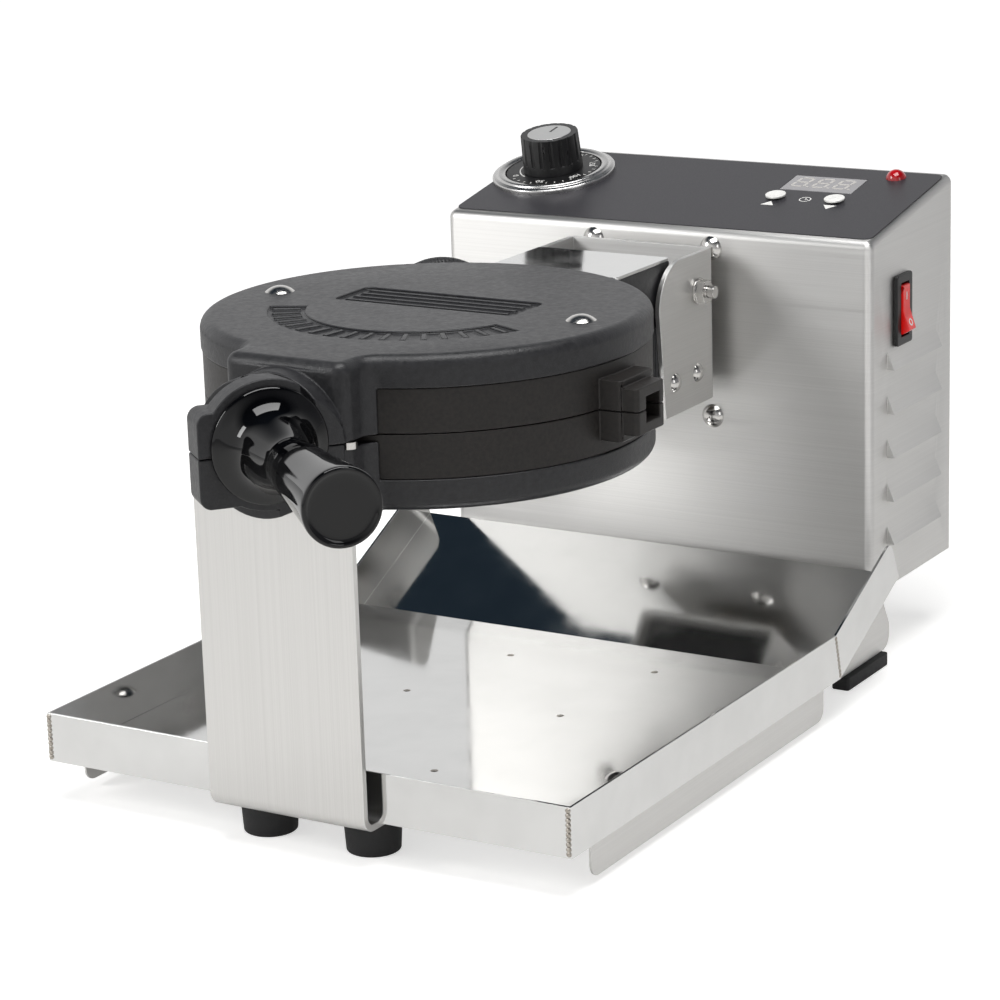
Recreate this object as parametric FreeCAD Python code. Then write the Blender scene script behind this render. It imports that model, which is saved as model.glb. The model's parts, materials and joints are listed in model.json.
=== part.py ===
import FreeCAD, Part
import math
import os

# A turning round waffle baker for the counter: two hinged cast irons on a spindle, a steel control
# housing behind them, a front post that carries the iron's hub, and a lift-off drip tray.
# Millimetres and degrees, +Z up, front towards -Y, origin on the counter below the middle of the box.

V = FreeCAD.Vector

# Fits shared by the whole machine
run_fit = 0.05
side_gap = 0.5
turn_gap = 0.4
drop_in = 0.2
over = 1.0

# Heights that the frame sets
foot_height = 16.0
strap_sheet = 3.0
axis_height = 177.0

# Control housing
housing_width = 230.0
housing_depth = 92.6
housing_sheet = 1.2
housing_bend = 4.0
housing_clear = 36.9
panel_rise = 30.5
panel_climb = 17.4
rear_setback = 1.0
gland_proud = 7.0
gland_radius = 9.0
louver_count = 5
louver_pitch = 21.4
louver_length = 56.0
louver_height = 9.0
louver_depth = 4.0
louver_slot = 2.4
louver_front = 18.0
louver_top_drop = 33.0
rear_screw_radius = 3.5
rear_screw_dome = 2.0
rear_screw_shank = 1.8
rear_screw_inset = 7.0
flange_width = 14.0

# Sloping control panel, places measured up the slope from its front edge
overlay_sheet = 0.5
overlay_margin = 2.4
dial_x = -86.0
dial_up = 58.0
bezel_radius = 31.2
bezel_height = 4.0
skirt_radius = 24.0
skirt_height = 2.6
knob_radius = 15.1
knob_height = 18.8
knob_draft = 0.6
knob_band = 4.5
knob_flutes = 18
knob_flute_radius = 1.3
cap_radius = 11.0
cap_height = 0.8
stem_radius = 3.0
display_x = 59.0
display_up = 68.6
display_width = 38.0
display_depth = 19.5
display_thick = 3.0
button_offset = 15.6
button_up = 47.6
button_radius = 5.0
button_cap = 0.8
button_travel = 0.6
button_stem_radius = 1.6
lamp_x = 90.5
lamp_rear_inset = 8.6
lamp_up = housing_depth - lamp_rear_inset
lamp_radius = 5.0
lamp_stem_radius = 4.0
lamp_dome = 4.0
lamp_stem = 12.0
thermostat_gap = 3.0
thermostat_grip = 8.0
thermostat_radius = 19.0
thermostat_height = 24.0
board_sheet = 1.6
board_margin = 6.0
board_depth = 9.0
module_gap = 0.4

# Mains switch on the right side
rocker_back = 33.8
rocker_drop = 6.5
rocker_frame_width = 17.0
rocker_frame_height = 34.0
rocker_frame_lip = 2.2
rocker_frame_corner = 1.5
rocker_frame_edge = 0.6
rocker_wall = 1.8
rocker_body_depth = 18.0
rocker_tilt = 10.0
rocker_pin = 1.5
rocker_pivot_in = 2.0
rocker_key_depth = 6.0
rocker_ridge = 5.0

# Spindle and yoke
spindle_radius = 10.0
spindle_bore = 4.5
spindle_flange_radius = 22.0
spindle_flange = 4.0
bush_wall = 4.0
bush_length = 36.0
bush_collar = 2.5
bearing_plate_half = 45.0
bearing_plate_sheet = 4.0
face_screw_x = 31.8
face_screw_edge = 8.0
face_screw_span = 82.0
face_screw_head = 5.75
face_screw_dome = 3.6
face_screw_shank = 2.5
yoke_half = 38.5
yoke_sheet = 2.5
yoke_stand = 10.0
yoke_reach = 64.6
yoke_rise = 25.5
yoke_drop = 47.0
yoke_round = 22.0
yoke_toe = 5.0
hinge_reach = 26.3
hinge_rise = 7.5
hinge_bolt_radius = 3.0
knuckle_radius = 9.0
arm_screw_drop = 31.5
arm_screw_reach = (27.6, 50.2)
arm_screw_radius = 4.5
arm_screw_dome = 2.6
arm_screw_shank = 2.2
arm_screw_grip = 12.0
washer_thick = 1.2
nut_thick = 4.0
bolt_tip = 4.0
ring_room = 22.0
collar_thick = 8.0
stop_arm_thick = 6.0
stop_arm_length = 30.0
stop_arm_half = 6.0

# Irons
iron_reach = 203.0
iron_radius = 97.0
grid_setback = 0.6
grid_height = 19.0
cover_height = 13.5
cover_round = 5.0
parting_gap = 0.3
block_half = 29.5
block_reach = 110.0
block_round = 6.0
nose_fillet = 10.0
nose_relief = 3.0
arm_half = 34.7
arm_top_drop = 7.0
arm_end_reach = 47.0
arm_floor = 1.6
pocket_radius = 84.0
pocket_depth = 8.6
heater_radius = 3.3
heater_ring = 58.0
heater_lead_half = 12.0
cavity_radius = 88.0
cavity_depth = 4.4
stud_height = 2.0
stud_pitch = 12.0
stud_groove = 3.6
lug_front = 19.0
lug_rear = 9.0
lug_reach = 8.6
lug_height = 13.0
eye_reach = 7.0
eye_height = 10.0
eye_width = 11.5
eye_front_bar = 8.5
eye_bar = 4.5
cover_screw_x = 76.0
cover_screw_radius = 6.5
cover_screw_dome = 2.6
arm_plate_sheet = 1.5
arm_plate_round = 2.0
arm_plate_gap = 8.0
badge_length = 90.0
badge_width = 27.0
badge_centre = 9.5
band_radius = 60.0
band_width = 16.0
band_half_angle = 66.0
recess_depth = 1.2
badge_round = 3.0
badge_ribs = 4
band_ribs = 17
rib_width = 2.4
rib_margin = 4.0
rib_sink = 0.3
lug_round = 2.0
cover_screw_shank = 2.5
cover_screw_bite = 8.0
bumper_radius = 3.6
bumper_inset = 2.6

# Front hub, post and handle
post_reach = 325.0
post_width = 77.0
post_bend = 7.0
post_rise_drop = 21.3
post_corner = 4.0
hub_journal = 26.0
hub_flange = 29.0
hub_front = 8.0
saddle_half = 11.0
saddle_run = 26.0
handle_angle = 50.0
handle_forward = 2.4
handle_rise = 3.0
handle_start = 11.5
handle_length = 102.0
boss_half = 29.0
boss_rise = 18.5
boss_drop = 21.0
boss_round = 5.0
pad_radius = 27.0
flange_radius = 24.2
flange_edge = 2.5
flange_bevel = 0.8
trumpet_run = 6.0
neck_radius = 10.2
neck_at = 33.0
neck_run = 12.0
grip_radius = 15.8
grip_edge = 2.0
handle_stud_radius = 2.5

# Drip tray
tray_half = 130.6
tray_front = 316.3
tray_fold = 67.4
tray_sheet = 1.2
tray_wall = 22.0
tray_wall_gap = 2.5
tray_corner = 5.0
tray_back_rise = 31.0
tray_skirt_inset = 2.6
tray_skirt_front = 20.0
tray_skirt_back = 12.6
tray_skirt_lift = 3.0
tray_skirt_flange = 30.0
tray_skirt_round = 6.0
tray_screw_inset = 27.6
tray_screw_reach = 229.0
tray_screw_radius = 5.5
tray_screw_dome = 2.6
tray_screw_shank = 2.0

# Feet and legs
front_foot_radius = 12.5
front_foot_x = 26.0
front_foot_reach = 300.0
leg_front = 40.0
leg_back = 21.0
leg_pad_height = 6.5
leg_pad_width = 9.0
leg_pad_front = 32.0
leg_pad_back = 13.0
leg_pad_round = 1.5
leg_shoulder = 18.0
leg_round = 12.0

# Lead between the yoke and the lower iron
lead_radius = 5.0
lead_climb = 40.0
grommet_thick = 4.0
grommet_wall = 1.5
lead_boss_length = 8.0
lead_boss_sink = 5.0
lead_cheek_reach = 46.5
lead_cheek_rise = 8.0

# Terminal strip in the housing
terminal_length = 60.0
terminal_depth = 22.0
terminal_height = 18.0
terminal_ways = 6

# Sizes that follow
panel_front = axis_height + panel_rise
panel_angle = math.degrees(math.atan2(panel_climb, housing_depth))
panel_slant = math.hypot(panel_climb, housing_depth)
half_width = housing_width / 2
grid_radius = iron_radius - grid_setback
iron_half = grid_height + cover_height
hub_point_reach = post_reach + strap_sheet / 2 + handle_forward
handle_sin = math.sin(math.radians(handle_angle))
handle_cos = math.cos(math.radians(handle_angle))
handle_end = handle_start + handle_length
front_reach = (hub_point_reach + (handle_end - grip_edge) * handle_cos
               + (grip_radius - grip_edge) * handle_sin + grip_edge)
rear_reach = housing_depth + gland_proud - rear_setback
y_face = (front_reach - rear_reach) / 2
y_iron = y_face - iron_reach
y_hinge = y_face - hinge_reach
z_hinge = axis_height + hinge_rise
spine_top = foot_height + strap_sheet
tray_floor = spine_top + tray_sheet


def box(x0, x1, y0, y1, z0, z1):
    """A block between two corners."""
    return Part.makeBox(x1 - x0, y1 - y0, z1 - z0, V(x0, y0, z0))


def rod(radius, length, base, direction):
    """A cylinder from a base point along a direction."""
    return Part.makeCylinder(radius, length, base, direction)


def ring(outer, inner, length, base, direction):
    """A tube from a base point along a direction."""
    return rod(outer, length, base, direction).cut(rod(inner, length, base, direction))


def prism_x(points, x0, x1):
    """A (y, z) outline drawn out along X."""
    wire = Part.makePolygon([V(x0, y, z) for y, z in points + points[:1]])
    return Part.Face(wire).extrude(V(x1 - x0, 0, 0))


def prism_y(points, y0, y1):
    """An (x, z) outline drawn out along Y."""
    wire = Part.makePolygon([V(x, y0, z) for x, z in points + points[:1]])
    return Part.Face(wire).extrude(V(0, y1 - y0, 0))


def turned(points, base, direction):
    """An (along, radius) outline turned about an axis through the base point."""
    side = V(0, 0, 1) if abs(direction.z) < 0.9 else V(1, 0, 0)
    wire = Part.makePolygon([base + direction * s + side * r for s, r in points + points[:1]])
    return Part.Face(wire).revolve(base, direction, 360)


def rounded(shape, radius, wanted):
    """Fillet the straight or round edges whose middle point passes the test."""
    edges = [e for e in shape.Edges if wanted(e.valueAt((e.FirstParameter + e.LastParameter) / 2), e)]
    return shape.makeFillet(radius, edges)


def runs_along(edge, axis):
    """True for a straight edge along an axis."""
    if len(edge.Vertexes) != 2:
        return False
    span = edge.Vertexes[1].Point - edge.Vertexes[0].Point
    return span.Length > 0 and abs(span.dot(axis)) > 0.999 * span.Length


def dome(radius, height, base, direction):
    """A low domed screw head, a slice of a ball."""
    ball = (radius * radius + height * height) / (2 * height)
    slice_angle = math.degrees(math.asin((ball - height) / ball))
    return Part.makeSphere(ball, base - direction * (ball - height), direction, slice_angle, 90, 360)


def dome_screw(radius, height, shank, length, base, direction):
    """A domed screw whose head stands on the base point and whose shank goes in behind it."""
    return dome(radius, height, base, direction).fuse(rod(shank, length, base, direction * -1))


def to_panel(shape):
    """Move a shape drawn flat (x, up the slope, out of the panel) onto the sloping panel."""
    turn = FreeCAD.Rotation(V(1, 0, 0), panel_angle)
    shape.Placement = FreeCAD.Placement(V(0, y_face, panel_front), turn).multiply(shape.Placement)
    return shape


def handle_point(along):
    """A point on the handle's axis."""
    return V(along * handle_sin, y_face - hub_point_reach - along * handle_cos,
             axis_height + handle_rise)


def mirrored_x(shape):
    """The shape and its twin on the other side."""
    return [shape, shape.mirror(V(0, 0, 0), V(1, 0, 0))]


axis_x = V(1, 0, 0)
axis_y = V(0, 1, 0)
axis_z = V(0, 0, 1)
handle_way = V(handle_sin, -handle_cos, 0)


def housing_block(inset, back, low):
    """The housing's outer form, or its inside when inset by the sheet."""
    cosine = math.cos(math.radians(panel_angle))
    climb = math.tan(math.radians(panel_angle))
    top = panel_front - inset / cosine
    outline = [(y_face + inset, low), (y_face + inset, top + inset * climb),
               (y_face + back, top + back * climb), (y_face + back, low)]
    block = prism_x(outline, -half_width + inset, half_width - inset)
    bend = housing_bend - inset

    def is_bend(middle, edge):
        at_front = abs(middle.y - (y_face + inset)) < 0.01
        at_side = abs(abs(middle.x) - (half_width - inset)) < 0.01
        upright = runs_along(edge, axis_z)
        across = runs_along(edge, axis_x)
        high = middle.z > low + over
        return high and ((at_front and (across or upright)) or (at_side and not upright))

    return rounded(block, bend, is_bend)


def louvers():
    """Pressed hoods on both sides, each open below."""
    hoods = []
    slots = []
    y0 = y_face + louver_front
    y1 = y0 + louver_length
    for n in range(louver_count):
        z = axis_height - louver_top_drop - n * louver_pitch
        hood = prism_y([(half_width - housing_sheet, z), (half_width + louver_depth, z),
                        (half_width, z + louver_height), (half_width - housing_sheet, z + louver_height)],
                       y0, y1)
        hollow = prism_y([(half_width - housing_sheet - over, z - over),
                          (half_width + louver_depth - housing_sheet, z - over),
                          (half_width + louver_depth - housing_sheet, z),
                          (half_width - housing_sheet, z + louver_height - housing_sheet),
                          (half_width - housing_sheet - over, z + louver_height - housing_sheet)],
                         y0 + housing_sheet, y1 - housing_sheet)
        hollow = hollow.common(box(half_width - housing_sheet - over, half_width + louver_depth,
                                   y0, y1, z, z + louver_height))
        slot = box(half_width - housing_sheet - over, half_width + over, y0 + housing_sheet,
                   y1 - housing_sheet, z, z + louver_slot)
        hoods += mirrored_x(hood)
        slots += mirrored_x(hollow) + mirrored_x(slot)
    return hoods, slots


def rocker_window():
    """The rectangle behind the switch frame, inside its lip."""
    y = y_face + rocker_back
    z = axis_height - rocker_drop
    half_y = rocker_frame_width / 2 - rocker_frame_lip
    half_z = rocker_frame_height / 2 - rocker_frame_lip
    return y - half_y, y + half_y, z - half_z, z + half_z


def panel_hole(x, up, radius):
    """A round hole through the sloping panel."""
    return to_panel(rod(radius, 12 * over, V(x, up, -6 * over), axis_z))


def display_hole(grow):
    """The window's rectangle through the sloping panel."""
    half_x = display_width / 2 + grow
    half_y = display_depth / 2 + grow
    return to_panel(box(display_x - half_x, display_x + half_x, display_up - half_y, display_up + half_y,
                        -6 * over, 6 * over))


def panel_cuts():
    """What the overlay and the housing's top both make way for."""
    cuts = [panel_hole(dial_x, dial_up, stem_radius + over), display_hole(drop_in)]
    for side in (-1, 1):
        cuts.append(panel_hole(display_x + side * button_offset, button_up, button_stem_radius + run_fit))
    cuts.append(panel_hole(lamp_x, lamp_up, lamp_stem_radius + drop_in))
    return cuts


def face_screw_places():
    """The four domed screws that hold the bearing plate."""
    top = panel_front - face_screw_edge
    return [(x, z) for x in (-face_screw_x, face_screw_x) for z in (top, top - face_screw_span)]


def make_housing_shell():
    """Front, top and sides bent from one sheet, open behind and below."""
    shell = housing_block(0, housing_depth, housing_clear)
    shell = shell.cut(housing_block(housing_sheet, housing_depth + over, housing_clear - over))
    hoods, slots = louvers()
    shell = shell.fuse(hoods).cut(slots).fuse(rear_flanges())
    shell = shell.cut(panel_cuts())
    y0, y1, z0, z1 = rocker_window()
    shell = shell.cut(box(half_width - 3 * over, half_width + over, y0, y1, z0, z1))
    shell = shell.cut(rod(spindle_radius + bush_wall, 4 * over, V(0, y_face - over, axis_height), axis_y))
    for x, z in face_screw_places():
        shell = shell.cut(rod(face_screw_shank, 4 * over, V(x, y_face - over, z), axis_y))
    return shell.removeSplitter()


def rear_edges():
    """Width and height of the opening that the rear cover closes."""
    half = half_width - housing_sheet - drop_in
    low = housing_clear + housing_sheet + drop_in
    cosine = math.cos(math.radians(panel_angle))
    back = housing_depth - rear_setback - housing_sheet
    high = panel_front + (back * panel_climb / housing_depth) - housing_sheet / cosine - drop_in
    return half, low, high


def rear_screw_places():
    """Screws near the rear cover's corners."""
    half, low, high = rear_edges()
    x = half - rear_screw_inset
    return [(sx * x, z) for sx in (-1, 1) for z in (low + rear_screw_inset, high - 2 * rear_screw_inset)]


def gland_place():
    """The lead's gland near the lower left corner of the rear cover."""
    half, low, _ = rear_edges()
    return -half + 4 * gland_radius, low + 3 * gland_radius


def rear_flanges():
    """Strips bent in from both sides of the shell for the rear cover's screws."""
    half, low, high = rear_edges()
    y1 = y_face + housing_depth - rear_setback - housing_sheet
    strip = box(half - flange_width, half_width - housing_sheet / 2, y1 - housing_sheet, y1, low,
                high - housing_bend)
    for x, z in rear_screw_places():
        strip = strip.cut(rod(rear_screw_shank, 4 * housing_sheet, V(x, y1 - 2 * housing_sheet, z), axis_y))
    return mirrored_x(strip)


def make_rear_cover():
    """Flat back plate screwed on the shell's flanges."""
    half, low, high = rear_edges()
    y1 = y_face + housing_depth - rear_setback
    plate = box(-half, half, y1 - housing_sheet, y1, low, high)
    plate = rounded(plate, housing_bend,
                    lambda m, e: runs_along(e, axis_y) and m.z > low + over)
    for x, z in rear_screw_places():
        plate = plate.cut(rod(rear_screw_shank, 4 * over, V(x, y1 - 3 * over, z), axis_y))
    x, z = gland_place()
    return plate.cut(rod(gland_radius - 2 * over, 4 * over, V(x, y1 - 3 * over, z),
                         axis_y)).removeSplitter()


def make_bottom_plate():
    """Flat plate that closes the housing below."""
    half = half_width - housing_sheet - drop_in
    y0 = y_face + housing_sheet + drop_in
    plate = box(-half, half, y0, y_face + housing_depth - rear_setback, housing_clear,
                housing_clear + housing_sheet)
    return rounded(plate, housing_bend, lambda m, e: runs_along(e, axis_z) and m.y < y0 + over)


def make_overlay():
    """Dark printed sheet glued on the sloping panel."""
    half = half_width - overlay_margin
    sheet = box(-half, half, overlay_margin + housing_bend / 2, panel_slant - overlay_margin, 0,
                overlay_sheet)
    sheet = rounded(sheet, housing_bend, lambda m, e: runs_along(e, axis_z))
    return to_panel(sheet).cut(panel_cuts())


def make_bezel():
    """Polished stepped ring around the dial."""
    inner = skirt_radius + turn_gap
    outline = [(overlay_sheet, inner), (overlay_sheet, bezel_radius),
               (overlay_sheet + bezel_height * 0.45, bezel_radius),
               (overlay_sheet + bezel_height, bezel_radius - bezel_height * 0.6),
               (overlay_sheet + bezel_height, inner + bezel_height * 0.7),
               (overlay_sheet + bezel_height * 0.6, inner)]
    return to_panel(turned(outline, V(dial_x, dial_up, 0), axis_z))


def make_dial_skirt():
    """Flat numbered disc that turns with the knob."""
    base = overlay_sheet + side_gap
    disc = rod(skirt_radius, skirt_height, V(dial_x, dial_up, base), axis_z)
    disc = rounded(disc, skirt_height * 0.3, lambda m, e: m.z > base + skirt_height / 2)
    hub = rod(stem_radius, skirt_height, V(dial_x, dial_up, base), axis_z)
    return to_panel(disc.cut(hub))


def knob_base():
    """Height of the knob's underside above the panel."""
    return overlay_sheet + side_gap + skirt_height


def make_knob():
    """Fluted grip, drawn in towards the top, with a recess for its cap."""
    base = knob_base()
    body = Part.makeCone(knob_radius, knob_radius - knob_draft, knob_height, V(dial_x, dial_up, base),
                         axis_z)
    flutes = []
    for n in range(knob_flutes):
        angle = 2 * math.pi * n / knob_flutes
        reach = knob_radius + knob_flute_radius * 0.25
        place = V(dial_x + reach * math.cos(angle), dial_up + reach * math.sin(angle), base + knob_band)
        flutes.append(rod(knob_flute_radius, knob_height, place, axis_z))
    body = body.cut(flutes)
    recess = rod(cap_radius, cap_height, V(dial_x, dial_up, base + knob_height - cap_height), axis_z)
    bore = rod(stem_radius, knob_height * 0.6, V(dial_x, dial_up, base), axis_z)
    return to_panel(body.cut([recess, bore]))


def make_knob_cap():
    """Bright disc set in the knob's top."""
    base = knob_base() + knob_height - cap_height
    disc = rod(cap_radius, cap_height, V(dial_x, dial_up, base), axis_z)
    return to_panel(disc)


def make_knob_stem():
    """Thermostat stem that carries the knob and the skirt."""
    top = knob_base() + knob_height * 0.6
    low = -thermostat_gap - thermostat_grip
    return to_panel(rod(stem_radius, top - low, V(dial_x, dial_up, low), axis_z))


def make_thermostat():
    """Round capillary thermostat body on the underside of the panel, its bush open for the stem."""
    top = -housing_sheet
    bush = rod(stem_radius * 2, thermostat_gap + over, V(dial_x, dial_up, top - thermostat_gap - over),
               axis_z)
    can = rod(thermostat_radius, thermostat_height,
              V(dial_x, dial_up, top - thermostat_gap - thermostat_height), axis_z)
    bore = rod(stem_radius + run_fit, thermostat_grip + thermostat_gap,
               V(dial_x, dial_up, -thermostat_gap - thermostat_grip), axis_z)
    return to_panel(bush.fuse(can).cut(bore).removeSplitter())


def make_display_window():
    """Smoked window pressed into the panel, flush with the overlay."""
    half_x = display_width / 2
    half_y = display_depth / 2
    pane = box(display_x - half_x, display_x + half_x, display_up - half_y, display_up + half_y,
               overlay_sheet - display_thick, overlay_sheet)
    return to_panel(pane)


def make_timer_board():
    """Circuit board under the panel with the digit module on it."""
    half_x = display_width / 2 + board_margin
    y0 = button_up - 2 * board_margin
    y1 = display_up + display_depth / 2 + board_margin / 2
    top = -housing_sheet - board_depth
    board = box(display_x - half_x, display_x + half_x, y0, y1, top - board_sheet, top)
    inset = 2 * over
    module = box(display_x - display_width / 2 + inset, display_x + display_width / 2 - inset,
                 display_up - display_depth / 2 + inset, display_up + display_depth / 2 - inset,
                 top, overlay_sheet - display_thick - module_gap)
    parts = board.fuse(module)
    for x in (display_x - half_x + over * 2, display_x + half_x - over * 2):
        parts = parts.fuse(rod(1.5 * over, board_depth, V(x, y1 - 2 * over, top), axis_z))
    return to_panel(parts.removeSplitter())


def make_button(side):
    """Round timer key with a stem down to its switch."""
    x = display_x + side * button_offset
    low = overlay_sheet + button_travel + side_gap
    cap = rod(button_radius, button_cap, V(x, button_up, low), axis_z)
    cap = rounded(cap, button_cap * 0.35, lambda m, e: m.z > low + button_cap / 2)
    tail = housing_sheet + board_depth - button_travel - side_gap
    stem = rod(button_stem_radius, low + tail, V(x, button_up, -tail), axis_z)
    return to_panel(cap.fuse(stem).removeSplitter())


def make_lamp():
    """Red domed indicator with its body behind the panel."""
    head = dome(lamp_radius, lamp_dome, V(lamp_x, lamp_up, overlay_sheet), axis_z)
    stem = rod(lamp_stem_radius, lamp_stem + overlay_sheet, V(lamp_x, lamp_up, -lamp_stem), axis_z)
    return to_panel(head.fuse(stem).removeSplitter())


def make_rocker_frame():
    """Black switch frame: a lip outside, walls and body inside, pins on the turning line."""
    y0, y1, z0, z1 = rocker_window()
    lip = box(half_width, half_width + rocker_frame_lip, y0 - rocker_frame_lip, y1 + rocker_frame_lip,
              z0 - rocker_frame_lip, z1 + rocker_frame_lip)
    lip = rounded(lip, rocker_frame_corner, lambda m, e: runs_along(e, axis_x))
    lip = rounded(lip, rocker_frame_edge, lambda m, e: m.x > half_width + rocker_frame_lip - 0.01)
    body = box(half_width - rocker_body_depth, half_width, y0 + drop_in, y1 - drop_in,
               z0 + drop_in, z1 - drop_in)
    hollow = box(half_width - rocker_body_depth + rocker_wall, half_width + rocker_frame_lip + over,
                 y0 + rocker_wall, y1 - rocker_wall, z0 + rocker_wall, z1 - rocker_wall)
    pins = rod(rocker_pin + run_fit, 4 * rocker_frame_width,
               rocker_pivot() - axis_y * 2 * rocker_frame_width, axis_y)
    return lip.fuse(body).cut([hollow, pins]).removeSplitter()


def rocker_pivot():
    """Turning line of the switch key, level with the housing's side."""
    return V(half_width - rocker_pivot_in, y_face + rocker_back, axis_height - rocker_drop)


def make_rocker():
    """Red switch key with two faces meeting in the middle and ends curved about its pins."""
    y0, y1, z0, z1 = rocker_window()
    pivot = rocker_pivot()
    half = (z1 - z0) / 2 - rocker_wall - side_gap
    tip = rocker_ridge + half * math.sin(math.radians(2 * rocker_tilt))
    heel = half * 0.6
    outline = [(pivot.x - rocker_key_depth, pivot.z - heel), (pivot.x + rocker_ridge, pivot.z - half),
               (pivot.x + tip, pivot.z - half), (pivot.x + rocker_ridge, pivot.z),
               (pivot.x + rocker_ridge, pivot.z + half), (pivot.x - rocker_key_depth, pivot.z + heel)]
    key = prism_y(outline, y0 + rocker_wall + side_gap, y1 - rocker_wall - side_gap)
    key = key.common(rod(half, y1 - y0, V(pivot.x, y0, pivot.z), axis_y))
    reach = (y1 - y0) / 2 - side_gap
    return key.fuse(rod(rocker_pin, 2 * reach, pivot - axis_y * reach, axis_y)).removeSplitter()


def make_bearing_plate():
    """Thick plate behind the front face with the boss that holds the bush."""
    y0 = y_face + housing_sheet
    top = panel_front - housing_bend - side_gap
    low = panel_front - face_screw_edge - face_screw_span - face_screw_edge
    plate = box(-bearing_plate_half, bearing_plate_half, y0, y0 + bearing_plate_sheet, low, top)
    boss = rod(spindle_radius + 2 * bush_wall, bush_length - housing_sheet, V(0, y0, axis_height), axis_y)
    plate = plate.fuse(boss)
    plate = plate.cut(rod(spindle_radius + bush_wall, bush_length + over, V(0, y_face, axis_height),
                          axis_y))
    for x, z in face_screw_places():
        plate = plate.cut(rod(face_screw_shank, 3 * bearing_plate_sheet, V(x, y_face, z), axis_y))
    return plate.removeSplitter()


def make_bush():
    """Flanged bronze bush for the spindle."""
    sleeve = rod(spindle_radius + bush_wall, bush_length + bush_collar, V(0, y_face - bush_collar,
                                                                          axis_height),
                 axis_y)
    collar = rod(spindle_radius + 2 * bush_wall, bush_collar, V(0, y_face - bush_collar, axis_height),
                 axis_y)
    bore = rod(spindle_radius + run_fit, bush_length + 2 * bush_collar,
               V(0, y_face - 2 * bush_collar, axis_height), axis_y)
    return sleeve.fuse(collar).cut(bore).removeSplitter()


def make_face_screws():
    """Domed screws on the front face."""
    return [dome_screw(face_screw_head, face_screw_dome, face_screw_shank,
                       housing_sheet + bearing_plate_sheet,
                       V(x, y_face, z), V(0, -1, 0)) for x, z in face_screw_places()]


def make_rear_screws():
    """Small domed screws of the rear cover."""
    y = y_face + housing_depth - rear_setback
    return [dome_screw(rear_screw_radius, rear_screw_dome, rear_screw_shank, 2 * over, V(x, y, z), axis_y)
            for x, z in rear_screw_places()]


def make_gland():
    """Bare lead gland in the rear cover, with an open bore."""
    x, z = gland_place()
    y = y_face + housing_depth - rear_setback
    neck = gland_radius - 2 * over
    body = rod(gland_radius, gland_proud * 0.5, V(x, y, z), axis_y)
    nose = Part.makeCone(gland_radius - over, neck - over, gland_proud * 0.5,
                         V(x, y + gland_proud * 0.5, z), axis_y)
    tail = rod(neck, gland_proud + housing_sheet, V(x, y - gland_proud - housing_sheet, z), axis_y)
    nut = ring(gland_radius, neck, gland_proud * 0.5, V(x, y - housing_sheet - gland_proud * 0.5, z),
               axis_y)
    bore = rod(neck * 0.55, 4 * gland_proud, V(x, y - 2 * gland_proud, z), axis_y)
    return body.fuse([nose, tail, nut]).cut(bore).removeSplitter()


def make_terminal_block():
    """Screw terminal strip on the bottom plate."""
    y0 = y_face + housing_depth / 2
    z0 = housing_clear + housing_sheet
    block = box(-terminal_length / 2, terminal_length / 2, y0, y0 + terminal_depth, z0,
                z0 + terminal_height)
    pitch = terminal_length / terminal_ways
    slots = []
    for n in range(terminal_ways):
        x = -terminal_length / 2 + (n + 0.5) * pitch
        slots.append(rod(pitch * 0.3, terminal_height / 2, V(x, y0 + terminal_depth / 2,
                                                             z0 + terminal_height / 2),
                         axis_z))
    return block.cut(slots)


def make_spindle():
    """Hollow spindle welded to the yoke's back by its flange."""
    flange_y = y_face - yoke_stand
    flange = rod(spindle_flange_radius, spindle_flange, V(0, flange_y, axis_height), axis_y)
    shaft = rod(spindle_radius, yoke_stand + bush_length + ring_room, V(0, flange_y, axis_height), axis_y)
    bore = rod(spindle_bore, yoke_stand + bush_length + ring_room, V(0, flange_y, axis_height), axis_y)
    return flange.fuse(shaft).cut(bore).removeSplitter()


def make_collar():
    """Locking collar that keeps the spindle in its bush."""
    y = y_face + bush_length + side_gap
    return ring(spindle_radius + bush_wall * 1.5, spindle_radius, collar_thick, V(0, y, axis_height),
                axis_y)


def make_stop_arm():
    """Arm clamped behind the collar that meets the stop block at both ends of the turn."""
    y = y_face + bush_length + side_gap + collar_thick
    hub = rod(spindle_radius + bush_wall * 1.5, stop_arm_thick, V(0, y, axis_height), axis_y)
    arm = box(0, stop_arm_length, y, y + stop_arm_thick, axis_height - stop_arm_half,
              axis_height + stop_arm_half)
    hole = rod(spindle_radius, stop_arm_thick, V(0, y, axis_height), axis_y)
    return hub.fuse(arm).cut(hole).removeSplitter()


def make_stop_blocks():
    """Blocks on the bearing plate, under the arm at both ends of its half turn."""
    y0 = y_face + housing_sheet + bearing_plate_sheet
    y1 = y_face + bush_length + side_gap + collar_thick + stop_arm_thick
    top = axis_height - stop_arm_half - turn_gap
    width = spindle_radius + bush_wall * 2 + side_gap
    return mirrored_x(box(width, stop_arm_length - side_gap, y0, y1, top - 2 * stop_arm_half, top))


def yoke_outline():
    """Side view of a yoke cheek, from the back plate to the rounded front."""
    back = y_face - yoke_stand
    front = y_face - yoke_reach
    top = axis_height + yoke_rise
    low = axis_height - yoke_drop
    middle = yoke_round * (1 - math.sqrt(0.5))
    arc = Part.Arc(V(0, front + yoke_round, top), V(0, front + middle, top - middle),
                   V(0, front, top - yoke_round))
    points = [V(0, front, top - yoke_round), V(0, front + yoke_toe, low), V(0, back, low), V(0, back, top),
              V(0, front + yoke_round, top)]
    lines = [Part.LineSegment(a, b).toShape() for a, b in zip(points, points[1:])]
    return Part.Face(Part.Wire([arc.toShape()] + lines))


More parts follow.
